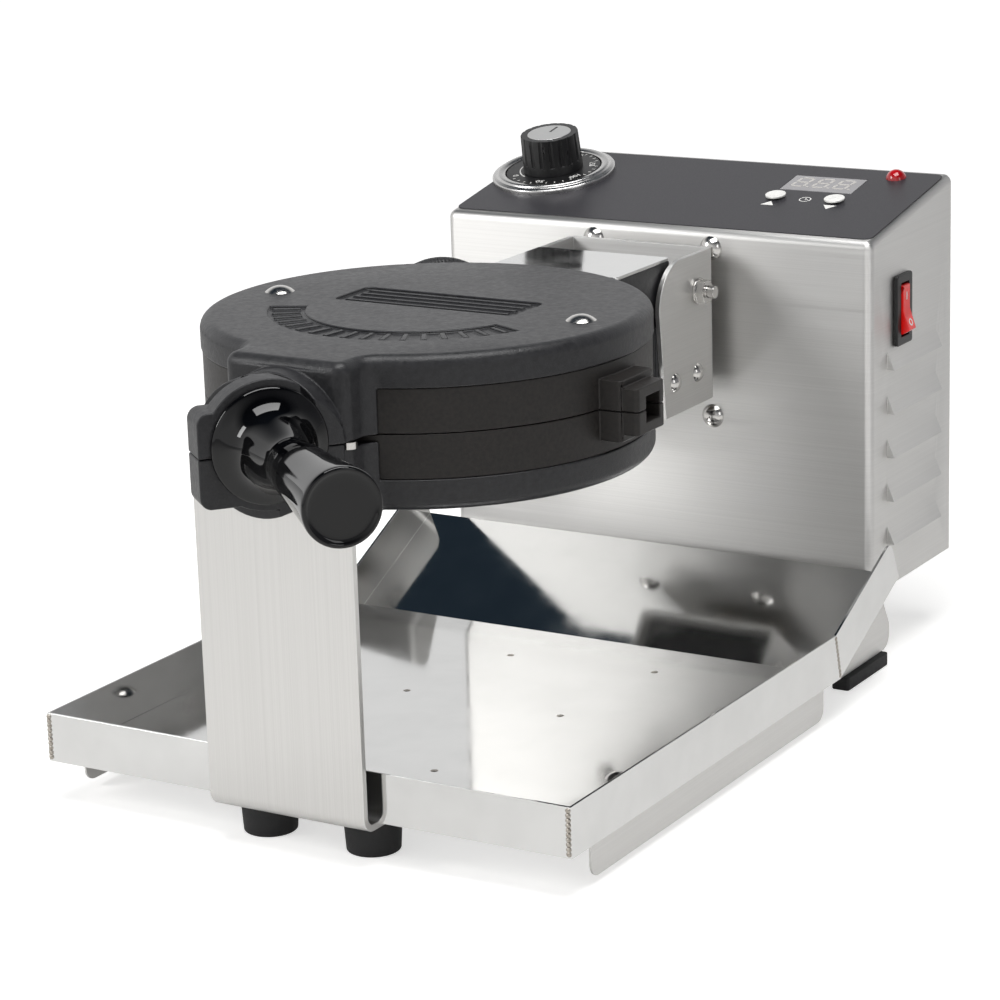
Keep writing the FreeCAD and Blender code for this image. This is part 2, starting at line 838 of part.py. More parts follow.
def make_yoke():
    """U-shaped bracket: two cheeks and the back plate that the spindle is welded to."""
    face = yoke_outline()
    face.translate(V(-yoke_half, 0, 0))
    block = face.extrude(V(2 * yoke_half, 0, 0))
    inner = yoke_half - yoke_sheet
    back = y_face - yoke_stand
    block = rounded(block, yoke_sheet * 1.4,
                    lambda m, e: runs_along(e, axis_z) and abs(m.y - back) < 0.01)
    hollow = box(-inner, inner, y_face - yoke_reach - over, back - yoke_sheet,
                 axis_height - yoke_drop - over, axis_height + yoke_rise + over)
    yoke = block.cut(hollow)
    yoke = yoke.cut(rod(spindle_bore, 4 * yoke_sheet, V(0, back - 2 * yoke_sheet, axis_height), axis_y))
    yoke = yoke.cut(rod(hinge_bolt_radius, 4 * yoke_half, V(-2 * yoke_half, y_hinge, z_hinge), axis_x))
    for reach in arm_screw_reach:
        yoke = yoke.cut(rod(arm_screw_shank, 4 * yoke_half,
                            V(-2 * yoke_half, y_face - reach, axis_height - arm_screw_drop), axis_x))
    return yoke.removeSplitter()


def hexagon(across, length, base):
    """A hexagonal nut or head along X."""
    radius = across / math.sqrt(3)
    points = []
    for n in range(6):
        angle = math.pi / 3 * n
        points.append((base.y + radius * math.cos(angle), base.z + radius * math.sin(angle)))
    return prism_x(points, base.x, base.x + length)


def make_hinge_bolt():
    """Lid hinge bolt through both cheeks, with washers, head and nut."""
    seat = yoke_half
    bolt = rod(hinge_bolt_radius, 2 * seat + 2 * washer_thick + nut_thick + bolt_tip,
               V(-seat - washer_thick, y_hinge, z_hinge), axis_x)
    head = hexagon(3.4 * hinge_bolt_radius, nut_thick,
                   V(-seat - washer_thick - nut_thick, y_hinge, z_hinge))
    nut = hexagon(3.4 * hinge_bolt_radius, nut_thick, V(seat + washer_thick, y_hinge, z_hinge))
    washers = [rod(2.1 * hinge_bolt_radius, washer_thick, V(x, y_hinge, z_hinge), axis_x)
               for x in (-seat - washer_thick, seat)]
    return bolt.fuse([head, nut] + washers).removeSplitter()


def make_yoke_screws():
    """Domed screws that hold the lower iron's arm in the yoke."""
    screws = []
    for side in (-1, 1):
        for reach in arm_screw_reach:
            base = V(side * yoke_half, y_face - reach, axis_height - arm_screw_drop)
            screws.append(dome_screw(arm_screw_radius, arm_screw_dome, arm_screw_shank, arm_screw_grip,
                                     base,
                                     axis_x * side))
    return screws


def cover_plan(low, high):
    """A casting's plan drawn out between two heights: the disc, its nose and the hollow curves between."""
    centre_x = block_half + nose_fillet
    centre_y = -math.sqrt((iron_radius + nose_fillet) ** 2 - centre_x ** 2)
    share = iron_radius / (iron_radius + nose_fillet)
    front = -block_reach
    inner = block_half - block_round
    slack = block_round * (1 - math.sqrt(0.5))

    def at(x, y):
        return V(x, y_iron + y, low)

    def hollow(side):
        centre = at(side * centre_x, centre_y)
        on_disc = at(side * centre_x * share, centre_y * share)
        on_nose = at(side * block_half, centre_y)
        middle = ((on_disc - centre) + (on_nose - centre)).normalize() * nose_fillet + centre
        return Part.Arc(on_disc, middle, on_nose)

    def corner(side):
        return Part.Arc(at(side * block_half, front + block_round),
                        at(side * (block_half - slack), front + slack), at(side * inner, front))

    curves = [Part.Arc(at(-centre_x * share, centre_y * share), at(0, iron_radius),
                       at(centre_x * share, centre_y * share))]
    curves.append(Part.LineSegment(at(-inner, front), at(inner, front)))
    for side in (-1, 1):
        curves.append(hollow(side))
        curves.append(corner(side))
        curves.append(Part.LineSegment(at(side * block_half, centre_y),
                                       at(side * block_half, front + block_round)))
    edges = Part.__sortEdges__([curve.toShape() for curve in curves])
    return Part.Face(Part.Wire(edges)).extrude(V(0, 0, high - low))


def casting(upper):
    """Disc and nose of one cover, rounded along its outer edge and open inside for the grid."""
    sign = 1 if upper else -1
    near = axis_height + (parting_gap / 2 if upper else -nose_relief)
    seat = axis_height + sign * grid_height
    far = axis_height + sign * iron_half
    solid = cover_plan(min(near, far), max(near, far))
    solid = rounded(solid, cover_round, lambda m, e: abs(m.z - far) < 0.01)
    nose_limit = block_half + nose_fillet / 3
    beside = cover_plan(min(near, seat), max(near, seat))
    keep = box(-nose_limit, nose_limit, y_iron - block_reach - over, y_iron - iron_radius / 2,
               min(near, seat), max(near, seat))
    return solid.cut(beside.cut(keep)).cut(grid_room(min(axis_height, seat), max(axis_height, seat)))


def handle_boss():
    """Square boss and round pad behind the handle, set at the handle's angle, in front of the post."""
    block = box(-boss_round, handle_start, -boss_half, boss_half, -boss_drop, boss_rise)
    block = rounded(block, boss_round, lambda m, e: runs_along(e, axis_x))
    block.rotate(V(0, 0, 0), axis_z, handle_angle - 90)
    block.translate(V(0, y_face - hub_point_reach, axis_height))
    pad = rod(pad_radius, handle_start, handle_point(0), handle_way)
    limit = y_face - post_reach - side_gap
    reach = 4 * hub_flange
    return block.fuse(pad).common(box(-reach, reach, limit - reach, limit, axis_height - reach,
                                      axis_height + reach))


def hub_half(upper):
    """Half of the spool that turns in the post's saddle, with its half of the handle's boss."""
    y_block = y_iron - block_reach + over
    y_post = y_face - post_reach
    y_front = y_post - side_gap - hub_front
    rear = rod(hub_flange, y_block - (y_post + strap_sheet + side_gap), V(0, y_block, axis_height), V(0,
                                                                                                      -1,
                                                                                                      0))
    journal = rod(hub_journal, y_block - y_front, V(0, y_block, axis_height), V(0, -1, 0))
    front = rod(hub_flange, hub_front, V(0, y_front, axis_height), axis_y)
    spool = rear.fuse([journal, front, handle_boss()])
    reach = 4 * hub_flange
    low = axis_height + parting_gap / 2 if upper else axis_height - reach
    high = axis_height + reach if upper else axis_height - parting_gap / 2
    keep = box(-reach, reach, y_front - reach, y_block + over, low, high)
    end = handle_start if upper else handle_start - side_gap
    beyond = rod(2 * reach, 2 * reach, handle_point(end), handle_way)
    return spool.common(keep).cut(beyond)


def grid_room(low, high):
    """The space that a grid ring takes between cover and parting plane."""
    return rod(grid_radius + drop_in, high - low, V(0, y_iron, low), axis_z)


def heater_pocket(low, high):
    """Hollow in a cover for its heating element."""
    return rod(pocket_radius, high - low, V(0, y_iron, low), axis_z)


def badge_cuts(surface):
    """Plain sunk panel and curved band on the upper cover."""
    low = surface - recess_depth
    middle = y_iron + badge_centre
    panel = box(-badge_length / 2, badge_length / 2, middle - badge_width / 2, middle + badge_width / 2,
                low, surface + over)
    panel = rounded(panel, badge_round, lambda m, e: runs_along(e, axis_z))
    band = ring(band_radius + band_width / 2, band_radius - band_width / 2, recess_depth + over,
                V(0, y_iron, low), axis_z)
    reach = 2 * iron_radius
    edge = math.radians(band_half_angle)
    corners = [V(0, y_iron, low), V(-reach * math.sin(edge), y_iron - reach * math.cos(edge), low),
               V(-reach, y_iron - reach, low), V(reach, y_iron - reach, low),
               V(reach * math.sin(edge), y_iron - reach * math.cos(edge), low), V(0, y_iron, low)]
    wedge = Part.Face(Part.makePolygon(corners)).extrude(V(0, 0, recess_depth + over))
    return [panel, band.common(wedge)]


def rib_marks(surface):
    """Plain raised bars in the sunk panel and the band."""
    marks = []
    low = surface - recess_depth - over
    high = surface - rib_sink
    half = badge_length / 2 - rib_margin
    pitch = (badge_width - 2 * rib_margin) / (badge_ribs - 1)
    for n in range(badge_ribs):
        y = y_iron + badge_centre - badge_width / 2 + rib_margin + n * pitch
        marks.append(box(-half, half, y - rib_width / 2, y + rib_width / 2, low, high))
    length = band_width - rib_margin
    for n in range(band_ribs):
        angle = band_half_angle * (2 * (n + 0.5) / band_ribs - 1)
        mark = box(-rib_width / 2, rib_width / 2, -band_radius - length / 2, -band_radius + length / 2,
                   low, high)
        mark.rotate(V(0, 0, 0), axis_z, angle)
        mark.translate(V(0, y_iron, 0))
        marks.append(mark)
    return marks


def make_upper_cover():
    """Upper casting: disc, nose, half hub, handle boss, rear arm and hinge knuckle."""
    ring_top = axis_height + grid_height
    top = axis_height + iron_half
    arm_top = top - arm_top_drop
    arm_low = axis_height + arm_floor
    arm = box(-arm_half, arm_half, y_iron, y_face - arm_end_reach, arm_low, arm_top)
    arm = arm.cut(grid_room(axis_height, ring_top))
    knuckle = rod(knuckle_radius, 2 * arm_half, V(-arm_half, y_hinge, z_hinge), axis_x)
    web = box(-arm_half, arm_half, y_face - arm_end_reach - over, y_hinge, arm_low,
              z_hinge + knuckle_radius - over)
    cover = casting(True).fuse([arm, knuckle, web, hub_half(True)])
    cover = cover.cut(heater_pocket(ring_top - over, ring_top + pocket_depth))
    cover = cover.cut(badge_cuts(top)).fuse(rib_marks(top))
    bolt_hole = rod(hinge_bolt_radius + run_fit, 4 * arm_half, V(-2 * arm_half, y_hinge, z_hinge), axis_x)
    stud_hole = rod(handle_stud_radius, 2 * handle_start, handle_point(-handle_start), handle_way)
    cuts = [bolt_hole, stud_hole]
    for x in (-cover_screw_x, cover_screw_x):
        cuts.append(rod(cover_screw_shank, 2 * cover_height, V(x, y_iron, ring_top), axis_z))
    return cover.cut(cuts).removeSplitter()


def make_lower_cover():
    """Lower casting: disc, nose, half hub and the arm that is screwed into the yoke."""
    ring_low = axis_height - grid_height
    low = axis_height - iron_half
    seat = yoke_half - yoke_sheet
    arm_top = z_hinge - knuckle_radius - 3 * side_gap
    y_back = y_face - yoke_stand - yoke_sheet
    y_tail = y_face - yoke_reach + over
    arm = box(-arm_half, arm_half, y_iron, y_tail, low + arm_top_drop, arm_top)
    arm = arm.cut(grid_room(ring_low, axis_height))
    tail = box(-seat, seat, y_tail, y_back - side_gap, axis_height - yoke_drop + 2 * yoke_toe, arm_top)
    cover = casting(False).fuse([arm, tail, hub_half(False), lead_boss()])
    cuts = [heater_pocket(ring_low - pocket_depth, ring_low + over)]
    for x in (-cover_screw_x, cover_screw_x):
        cuts.append(rod(cover_screw_shank, 2 * cover_height, V(x, y_iron, ring_low - 2 * cover_height),
                        axis_z))
    for side in (-1, 1):
        for reach in arm_screw_reach:
            cuts.append(rod(arm_screw_shank, arm_screw_grip,
                            V(side * yoke_half, y_face - reach, axis_height - arm_screw_drop),
                            axis_x * -side))
    return cover.cut(cuts).removeSplitter()


def lug(upper):
    """Bracket on the right of a grid ring, with half of a flat eye at its end."""
    inner = grid_radius - iron_radius / 10
    middle = grid_radius + lug_reach
    outer = middle + eye_reach
    sign = 1 if upper else -1
    near = axis_height + sign * parting_gap / 2
    far = axis_height + sign * lug_height
    eye_far = axis_height + sign * eye_height
    slot_far = eye_far - sign * eye_bar
    y0 = y_iron - lug_front
    y1 = y0 + eye_front_bar + eye_width + eye_bar
    block = box(inner, middle, y0, y_iron + lug_rear, min(near, far), max(near, far))
    block = rounded(block, lug_round, lambda m, e: runs_along(e, axis_z) and m.x > grid_radius)
    frame = box(middle - over, outer, y0 + over, y1, min(near, eye_far), max(near, eye_far))
    frame = rounded(frame, lug_round, lambda m, e: runs_along(e, axis_z) and m.x > middle)
    slot = box(middle, outer + over, y0 + eye_front_bar, y0 + eye_front_bar + eye_width,
               min(near - sign * over, slot_far), max(near - sign * over, slot_far))
    return block.fuse(frame.cut(slot))


def grid_studs(base, up):
    """Square studs left between crossing grooves on the baking face."""
    plateau = rod(cavity_radius - stud_groove, stud_height,
                  V(0, y_iron, base if up else base - stud_height), axis_z)
    grooves = []
    count = int(cavity_radius // stud_pitch) + 1
    low = base - over - stud_height
    high = base + over + stud_height
    for n in range(-count, count + 1):
        at = (n + 0.5) * stud_pitch
        half = stud_groove / 2
        grooves.append(box(at - half, at + half, y_iron - iron_radius, y_iron + iron_radius, low, high))
        grooves.append(box(-iron_radius, iron_radius, y_iron + at - half, y_iron + at + half, low, high))
    return plateau.cut(grooves)


def make_grid(upper):
    """Cast waffle plate: a thick ring with a sunk baking face full of studs."""
    sign = 1 if upper else -1
    near = axis_height + sign * parting_gap / 2
    far = axis_height + sign * grid_height
    plate = rod(grid_radius, abs(far - near), V(0, y_iron, min(near, far)), axis_z)
    plate = plate.fuse(lug(upper))
    floor = near + sign * cavity_depth
    plate = plate.cut(rod(cavity_radius, cavity_depth + over,
                          V(0, y_iron, min(floor, near - sign * over)), axis_z))
    plate = plate.fuse(grid_studs(floor, not upper))
    for x in (-cover_screw_x, cover_screw_x):
        plate = plate.cut(rod(cover_screw_shank, cover_screw_bite, V(x, y_iron, far), axis_z * -sign))
    return plate.removeSplitter()


def make_heater(upper):
    """Bent tubular element lying on the back of its grid."""
    sign = 1 if upper else -1
    z = axis_height + sign * (grid_height + heater_radius)
    half_angle = math.degrees(math.asin(heater_lead_half / heater_ring))
    loop = Part.makeTorus(heater_ring, heater_radius, V(0, y_iron, z), axis_z, 0, 360, 360 - 2 * half_angle)
    loop.rotate(V(0, y_iron, z), axis_z, 90 + half_angle)
    start = heater_ring * math.cos(math.radians(half_angle))
    parts = []
    for x in (-heater_lead_half, heater_lead_half):
        place = V(x, y_iron + start, z)
        parts.append(rod(heater_radius, pocket_radius - start - 3 * over, place, axis_y))
        parts.append(Part.makeSphere(heater_radius, place))
    return loop.fuse(parts).removeSplitter()


def make_cover_screws(upper):
    """Domed screws that hold a grid to its cover."""
    sign = 1 if upper else -1
    z = axis_height + sign * iron_half
    return [dome_screw(cover_screw_radius, cover_screw_dome, cover_screw_shank,
                       cover_height + cover_screw_bite,
                       V(x, y_iron, z), axis_z * sign) for x in (-cover_screw_x, cover_screw_x)]


def make_arm_plate():
    """Polished plate screwed on the upper arm."""
    z = axis_height + iron_half - arm_top_drop
    plate = box(-arm_half, arm_half, y_iron + iron_radius + arm_plate_gap, y_face - arm_end_reach, z,
                z + arm_plate_sheet)
    return rounded(plate, arm_plate_round, lambda m, e: runs_along(e, axis_z))


def make_handle():
    """Turned handle: trumpet flange, narrow neck and flared grip."""
    base = handle_point(handle_start)
    side = V(0, 0, 1)

    def at(along, radius):
        return base + handle_way * along + side * radius

    trumpet = Part.BSplineCurve()
    trumpet.interpolate([at(flange_edge, flange_radius - flange_bevel), at(flange_edge + trumpet_run,
                                                                           flange_radius * 0.62),
                         at(neck_at * 0.55, neck_radius * 1.25), at(neck_at, neck_radius),
                         at(neck_at + neck_run, neck_radius * 1.16),
                         at(handle_length * 0.75, grip_radius * 0.86),
                         at(handle_length - grip_edge, grip_radius)])
    corner = grip_edge * (1 - math.sqrt(0.5))
    nose = Part.Arc(at(handle_length - grip_edge, grip_radius),
                    at(handle_length - corner, grip_radius - corner),
                    at(handle_length, grip_radius - grip_edge))
    lines = [(at(handle_length, grip_radius - grip_edge), at(handle_length, 0)),
             (at(handle_length, 0), at(0, 0)), (at(0, 0), at(0, flange_radius)),
             (at(0, flange_radius), at(flange_edge * 0.6, flange_radius)),
             (at(flange_edge * 0.6, flange_radius), at(flange_edge, flange_radius - flange_bevel))]
    edges = [trumpet.toShape(), nose.toShape()] + [Part.LineSegment(a, b).toShape() for a, b in lines]
    solid = Part.Face(Part.Wire(Part.__sortEdges__(edges))).revolve(base, handle_way, 360)
    bore = rod(handle_stud_radius, handle_length * 0.6, base, handle_way)
    return solid.cut(bore)


def make_handle_stud():
    """Threaded rod from the casting into the handle."""
    return rod(handle_stud_radius, handle_start * 2 + handle_length * 0.6, handle_point(-handle_start),
               handle_way)


def make_bumper():
    """Bright rest button on the lower nose, just under the upper one."""
    x = block_half - bumper_inset
    y = y_iron - block_reach + block_round
    return rod(bumper_radius, nose_relief - parting_gap / 2, V(x, y, axis_height - nose_relief), axis_z)


def lead_way():
    """Outward and rising direction of the lead's lower end."""
    climb = math.radians(lead_climb)
    flat = math.cos(climb) * math.sqrt(0.5)
    return V(-flat, flat, math.sin(climb))


def lead_seat(along):
    """Point on the lead's lower end, measured out from the lower cover's rim."""
    z = axis_height - grid_height - cover_height / 2
    rim = V(-iron_radius * math.sqrt(0.5), y_iron + iron_radius * math.sqrt(0.5), z)
    return rim + lead_way() * along


def lead_boss():
    """Rising boss on the lower cover's rim that the lead goes into."""
    boss = rod(lead_radius + grommet_wall, lead_boss_length + lead_boss_sink, lead_seat(-lead_boss_sink),
               lead_way())
    return boss.cut(grid_room(axis_height - grid_height, axis_height))


def cheek_seat():
    """Where the lead leaves the left cheek of the yoke."""
    return V(-yoke_half, y_face - lead_cheek_reach, axis_height + lead_cheek_rise)


def make_grommets():
    """Rubber grommets at both ends of the lead."""
    return [rod(lead_radius + grommet_wall, grommet_thick, lead_seat(lead_boss_length), lead_way()),
            rod(lead_radius + grommet_wall, grommet_thick, cheek_seat(), V(-1, 0, 0))]


def lead_points():
    """Corner points of the lead's route, from the yoke over a low arch to the lower iron."""
    start = cheek_seat() + V(-grommet_thick, 0, 0)
    end = lead_seat(lead_boss_length + grommet_thick)
    return [start, start + V(-22.0, 0, 0), start + V(-36.0, -18.0, 11.0), start + V(-47.0, -43.0, 5.0),
            end + lead_way() * 22.0, end]


def make_lead():
    """Black sleeved heater lead, a tube along straight runs joined by large arcs."""
    points = lead_points()
    edges = []
    at = points[0]
    for before, corner, after in zip(points, points[1:], points[2:]):
        back = (before - corner).normalize()
        ahead = (after - corner).normalize()
        turn = math.pi - back.getAngle(ahead)
        leg = 0.45 * min((before - corner).Length, (after - corner).Length)
        enter = corner + back * leg
        leave = corner + ahead * leg
        radius = leg / math.tan(turn / 2)
        bisector = (back + ahead).normalize()
        centre = corner + bisector * (radius / math.cos(turn / 2))
        middle = centre - bisector * radius
        edges.append(Part.LineSegment(at, enter).toShape())
        edges.append(Part.Arc(enter, middle, leave).toShape())
        at = leave
        print("lead bend radius %.1f" % radius)
    edges.append(Part.LineSegment(at, points[-1]).toShape())
    path = Part.Wire(edges)
    first = (points[1] - points[0]).normalize()
    profile = Part.Wire([Part.makeCircle(lead_radius, points[0], first)])
    tube = path.makePipeShell([profile], True, True)
    print("lead volume ratio %.4f" % (tube.Volume / (math.pi * lead_radius ** 2 * path.Length)))
    return tube


def make_front_post():
    """Strap bent from the saddle down and back into the spine under the tray."""
    y0 = y_face - post_reach
    y1 = y_face - leg_front
    top = axis_height - post_rise_drop
    half = post_width / 2
    side = [(y0, foot_height), (y1, foot_height), (y1, spine_top), (y0 + strap_sheet, spine_top),
            (y0 + strap_sheet, top), (y0, top)]
    strap = prism_x(side, -half, half)
    strap = rounded(strap, post_bend,
                    lambda m, e: runs_along(e, axis_x) and abs(m.y - y0) < 0.01 and m.z < spine_top)
    strap = rounded(strap, post_bend - strap_sheet,
                    lambda m, e: runs_along(e, axis_x) and abs(m.y - y0 - strap_sheet) < 0.01
                    and m.z < spine_top + over)
    strap = rounded(strap, post_corner, lambda m, e: runs_along(e, axis_y) and m.z > top - over)
    bearing = hub_journal + turn_gap
    dip = axis_height - math.sqrt(bearing ** 2 - saddle_half ** 2)
    notch = prism_y([(-saddle_run, top + over), (-saddle_run, top), (-saddle_half, dip), (saddle_half, dip),
                     (saddle_run, top), (saddle_run, top + over)], y0 - over, y0 + strap_sheet + over)
    saddle = rod(bearing, strap_sheet + 2 * over, V(0, y0 - over, axis_height), axis_y)
    return strap.cut([notch, saddle]).removeSplitter()


def make_cross_plate():
    """Plate across the back of the spine that joins both leg brackets."""
    half = half_width - strap_sheet
    return box(-half, half, y_face - leg_front, y_face + leg_pad_back, foot_height, spine_top)


def make_legs():
    """Side brackets with rounded ends that carry the housing."""
    y0 = y_face - leg_front
    y1 = y_face + leg_back
    outline = [(y0, leg_pad_height), (y1, leg_pad_height), (y1, leg_pad_height + leg_round),
               (y_face + leg_back / 2, housing_clear), (y_face - leg_shoulder, housing_clear),
               (y0, foot_height + strap_sheet * 2)]
    leg = prism_x(outline, half_width - strap_sheet, half_width)
    leg = rounded(leg, leg_round * 0.6, lambda m, e: runs_along(e, axis_x) and abs(m.y - y1) < 0.01)
    return mirrored_x(leg)


def make_leg_pads():
    """Rubber strips under the leg brackets."""
    mid = half_width - strap_sheet / 2
    pad = box(mid - leg_pad_width / 2, mid + leg_pad_width / 2, y_face - leg_pad_front,
              y_face + leg_pad_back,
              0, leg_pad_height)
    return mirrored_x(rounded(pad, leg_pad_round, lambda m, e: runs_along(e, axis_z)))


def make_front_feet():
    """Round rubber feet under the front of the spine."""
    y = y_face - front_foot_reach
    foot = Part.makeCone(front_foot_radius - over, front_foot_radius, foot_height, V(front_foot_x, y, 0),
                         axis_z)
    return mirrored_x(rounded(foot, over, lambda m, e: m.z < 0.01 and len(e.Vertexes) == 1))


def tray_outline(lift):
    """Side view of the tray's sheet at a height above its underside: floor, fold and sloping back."""
    slope = math.atan2(tray_back_rise, tray_fold - tray_wall_gap)
    shift = lift * math.tan(slope / 2)
    end_y = y_face - tray_wall_gap - lift * math.sin(slope)
    end_z = spine_top + tray_back_rise + lift * math.cos(slope)
    return [(y_face - tray_front, spine_top + lift), (y_face - tray_fold - shift, spine_top + lift),
            (end_y, end_z)]


def make_tray():
    """Folded tray: floor, upright front, sloping back and side walls that follow both."""
    outer = tray_outline(0) + tray_outline(tray_wall)[::-1]
    inner = tray_outline(tray_sheet) + tray_outline(tray_wall + over)[::-1]
    last = len(tray_outline(0)) - 1
    front = inner[0][0] + tray_sheet
    inner[0] = (front, inner[0][1])
    inner[-1] = (front, inner[-1][1])
    before = inner[last - 1]
    along = V(0, inner[last][0] - before[0], inner[last][1] - before[1])
    beyond = along.normalize() * over * 3
    inner[last] = (inner[last][0] + beyond.y, inner[last][1] + beyond.z)
    inner[last + 1] = (inner[last + 1][0] + beyond.y, inner[last + 1][1] + beyond.z)
    tray = prism_x(outer, -tray_half, tray_half)
    tip = outer[last + 1]
    tray = rounded(tray, tray_corner, lambda m, e: runs_along(e, axis_x) and abs(m.y - tip[0]) < 0.01
                   and abs(m.z - tip[1]) < 0.01)
    tray = tray.cut(prism_x(inner, -tray_half + tray_sheet, tray_half - tray_sheet))
    for side in (-1, 1):
        tray = tray.cut(rod(tray_screw_shank, 4 * over, V(side * (tray_half - tray_screw_inset),
                        y_face - tray_screw_reach, spine_top - over), axis_z))
    return tray.removeSplitter()


def make_tray_skirts():
    """Angle strips under both sides of the tray."""
    x1 = tray_half - tray_skirt_inset
    y0 = y_face - tray_front + tray_skirt_front
    y1 = y_face - tray_fold - tray_skirt_back
    web = box(x1 - tray_sheet, x1, y0, y1, tray_skirt_lift, spine_top)
    web = rounded(web, tray_skirt_round, lambda m,
                  e: runs_along(e, axis_x) and m.z < tray_skirt_lift + over)
    flange = box(x1 - tray_skirt_flange, x1, y0, y1, spine_top - tray_sheet, spine_top)
    skirt = web.fuse(flange)
    skirt = skirt.cut(rod(tray_screw_shank, 4 * over, V(tray_half - tray_screw_inset,
                          y_face - tray_screw_reach, spine_top - 3 * over), axis_z))
    return mirrored_x(skirt.removeSplitter())


def make_tray_screws():
    """Domed screws that hold the skirts to the tray floor."""
    return [dome_screw(tray_screw_radius, tray_screw_dome, tray_screw_shank, 2 * tray_sheet,
                       V(side * (tray_half - tray_screw_inset), y_face - tray_screw_reach, tray_floor),
                       axis_z)
            for side in (-1, 1)]


def group(shapes):
    """Several like solids in one node."""
    return Part.makeCompound(shapes)


nodes = {
    "housing_shell": make_housing_shell(),
    "rear_cover": make_rear_cover(),
    "bottom_plate": make_bottom_plate(),
    "panel_overlay": make_overlay(),
    "dial_bezel": make_bezel(),
    "dial_skirt": make_dial_skirt(),
    "knob": make_knob(),
    "knob_cap": make_knob_cap(),
    "knob_stem": make_knob_stem(),
    "thermostat_body": make_thermostat(),
    "display_window": make_display_window(),
    "timer_board": make_timer_board(),
    "up_button": make_button(-1),
    "down_button": make_button(1),
    "indicator_lamp": make_lamp(),
    "rocker_frame": make_rocker_frame(),
    "rocker_key": make_rocker(),
    "bearing_plate": make_bearing_plate(),
    "spindle_bush": make_bush(),
    "face_screws": group(make_face_screws()),
    "rear_screws": group(make_rear_screws()),
    "lead_gland": make_gland(),
    "terminal_block": make_terminal_block(),
    "stop_blocks": group(make_stop_blocks()),
    "spindle": make_spindle(),
    "spindle_collar": make_collar(),
    "stop_arm": make_stop_arm(),
    "yoke": make_yoke(),
    "hinge_bolt": make_hinge_bolt(),
    "yoke_screws": group(make_yoke_screws()),
    "lower_cover": make_lower_cover(),
    "lower_grid": make_grid(False),
    "lower_heater": make_heater(False),
    "lower_cover_screws": group(make_cover_screws(False)),
    "bumper_stud": make_bumper(),
    "heater_lead": make_lead(),
    "lead_grommets": group(make_grommets()),
    "upper_cover": make_upper_cover(),
    "upper_grid": make_grid(True),
    "upper_heater": make_heater(True),
    "upper_cover_screws": group(make_cover_screws(True)),
    "arm_plate": make_arm_plate(),
    "handle": make_handle(),
    "handle_stud": make_handle_stud(),
    "front_post": make_front_post(),
    "cross_plate": make_cross_plate(),
    "leg_brackets": group(make_legs()),
    "leg_pads": group(make_leg_pads()),
    "front_feet": group(make_front_feet()),
    "drip_tray": make_tray(),
    "tray_skirts": group(make_tray_skirts()),
    "tray_screws": group(make_tray_screws()),
}

os.makedirs("parts", exist_ok=True)
for name, shape in nodes.items():
    shape.exportStep("parts/" + name + ".step")
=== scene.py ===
import json
import logging
import math
from dataclasses import dataclass, field
from enum import Enum
from typing import ClassVar

import bmesh
import bpy
from mathutils import Matrix, Vector

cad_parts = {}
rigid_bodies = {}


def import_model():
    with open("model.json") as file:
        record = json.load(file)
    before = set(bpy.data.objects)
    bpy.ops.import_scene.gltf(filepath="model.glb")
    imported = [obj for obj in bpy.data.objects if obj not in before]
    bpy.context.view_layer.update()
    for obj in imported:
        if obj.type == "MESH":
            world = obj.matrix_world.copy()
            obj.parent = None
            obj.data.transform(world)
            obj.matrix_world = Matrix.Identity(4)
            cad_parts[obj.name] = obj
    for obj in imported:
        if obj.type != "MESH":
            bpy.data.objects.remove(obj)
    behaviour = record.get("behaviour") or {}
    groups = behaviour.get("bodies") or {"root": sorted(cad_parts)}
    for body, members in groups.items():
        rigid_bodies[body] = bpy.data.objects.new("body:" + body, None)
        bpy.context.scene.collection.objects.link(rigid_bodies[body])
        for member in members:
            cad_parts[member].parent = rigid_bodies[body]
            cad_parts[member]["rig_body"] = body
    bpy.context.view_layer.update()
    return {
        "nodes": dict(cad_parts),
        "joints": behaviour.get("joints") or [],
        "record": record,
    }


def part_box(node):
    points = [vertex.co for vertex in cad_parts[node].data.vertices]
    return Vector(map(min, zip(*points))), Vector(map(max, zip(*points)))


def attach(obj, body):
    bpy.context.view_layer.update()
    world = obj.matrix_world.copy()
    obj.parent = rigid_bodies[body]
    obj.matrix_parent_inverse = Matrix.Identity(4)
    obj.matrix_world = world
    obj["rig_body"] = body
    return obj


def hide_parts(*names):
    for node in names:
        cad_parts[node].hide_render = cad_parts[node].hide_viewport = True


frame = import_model()
log = logging.getLogger("waffle_baker")

MM_PER_M = 1000.0
FULL_TURN = 2 * math.pi
WHITE = "#ffffff"
# Points of one shape that lie closer together than this, in metres, become one point.
SEAM_M = 1e-6
NUMERAL_SEAM_M = 1e-7
# A numeral's height as a share of its font size.
NUMERAL_SHARE = 0.7


def mm(value: float) -> float:
    """Millimetres to metres."""
    return value / MM_PER_M


def linear(code: str) -> tuple[float, float, float, float]:
    """Turn an sRGB hex value into linear light.

    Args:
        code: Six hex digits after a hash sign.

    Returns:
        Red, green, blue and an alpha of 1.
    """
    parts = [int(code[i:i + 2], 16) / 255 for i in (1, 3, 5)]
    red, green, blue = [p / 12.92 if p <= 0.04045 else ((p + 0.055) / 1.055) ** 2.4 for p in parts]
    return red, green, blue, 1.0


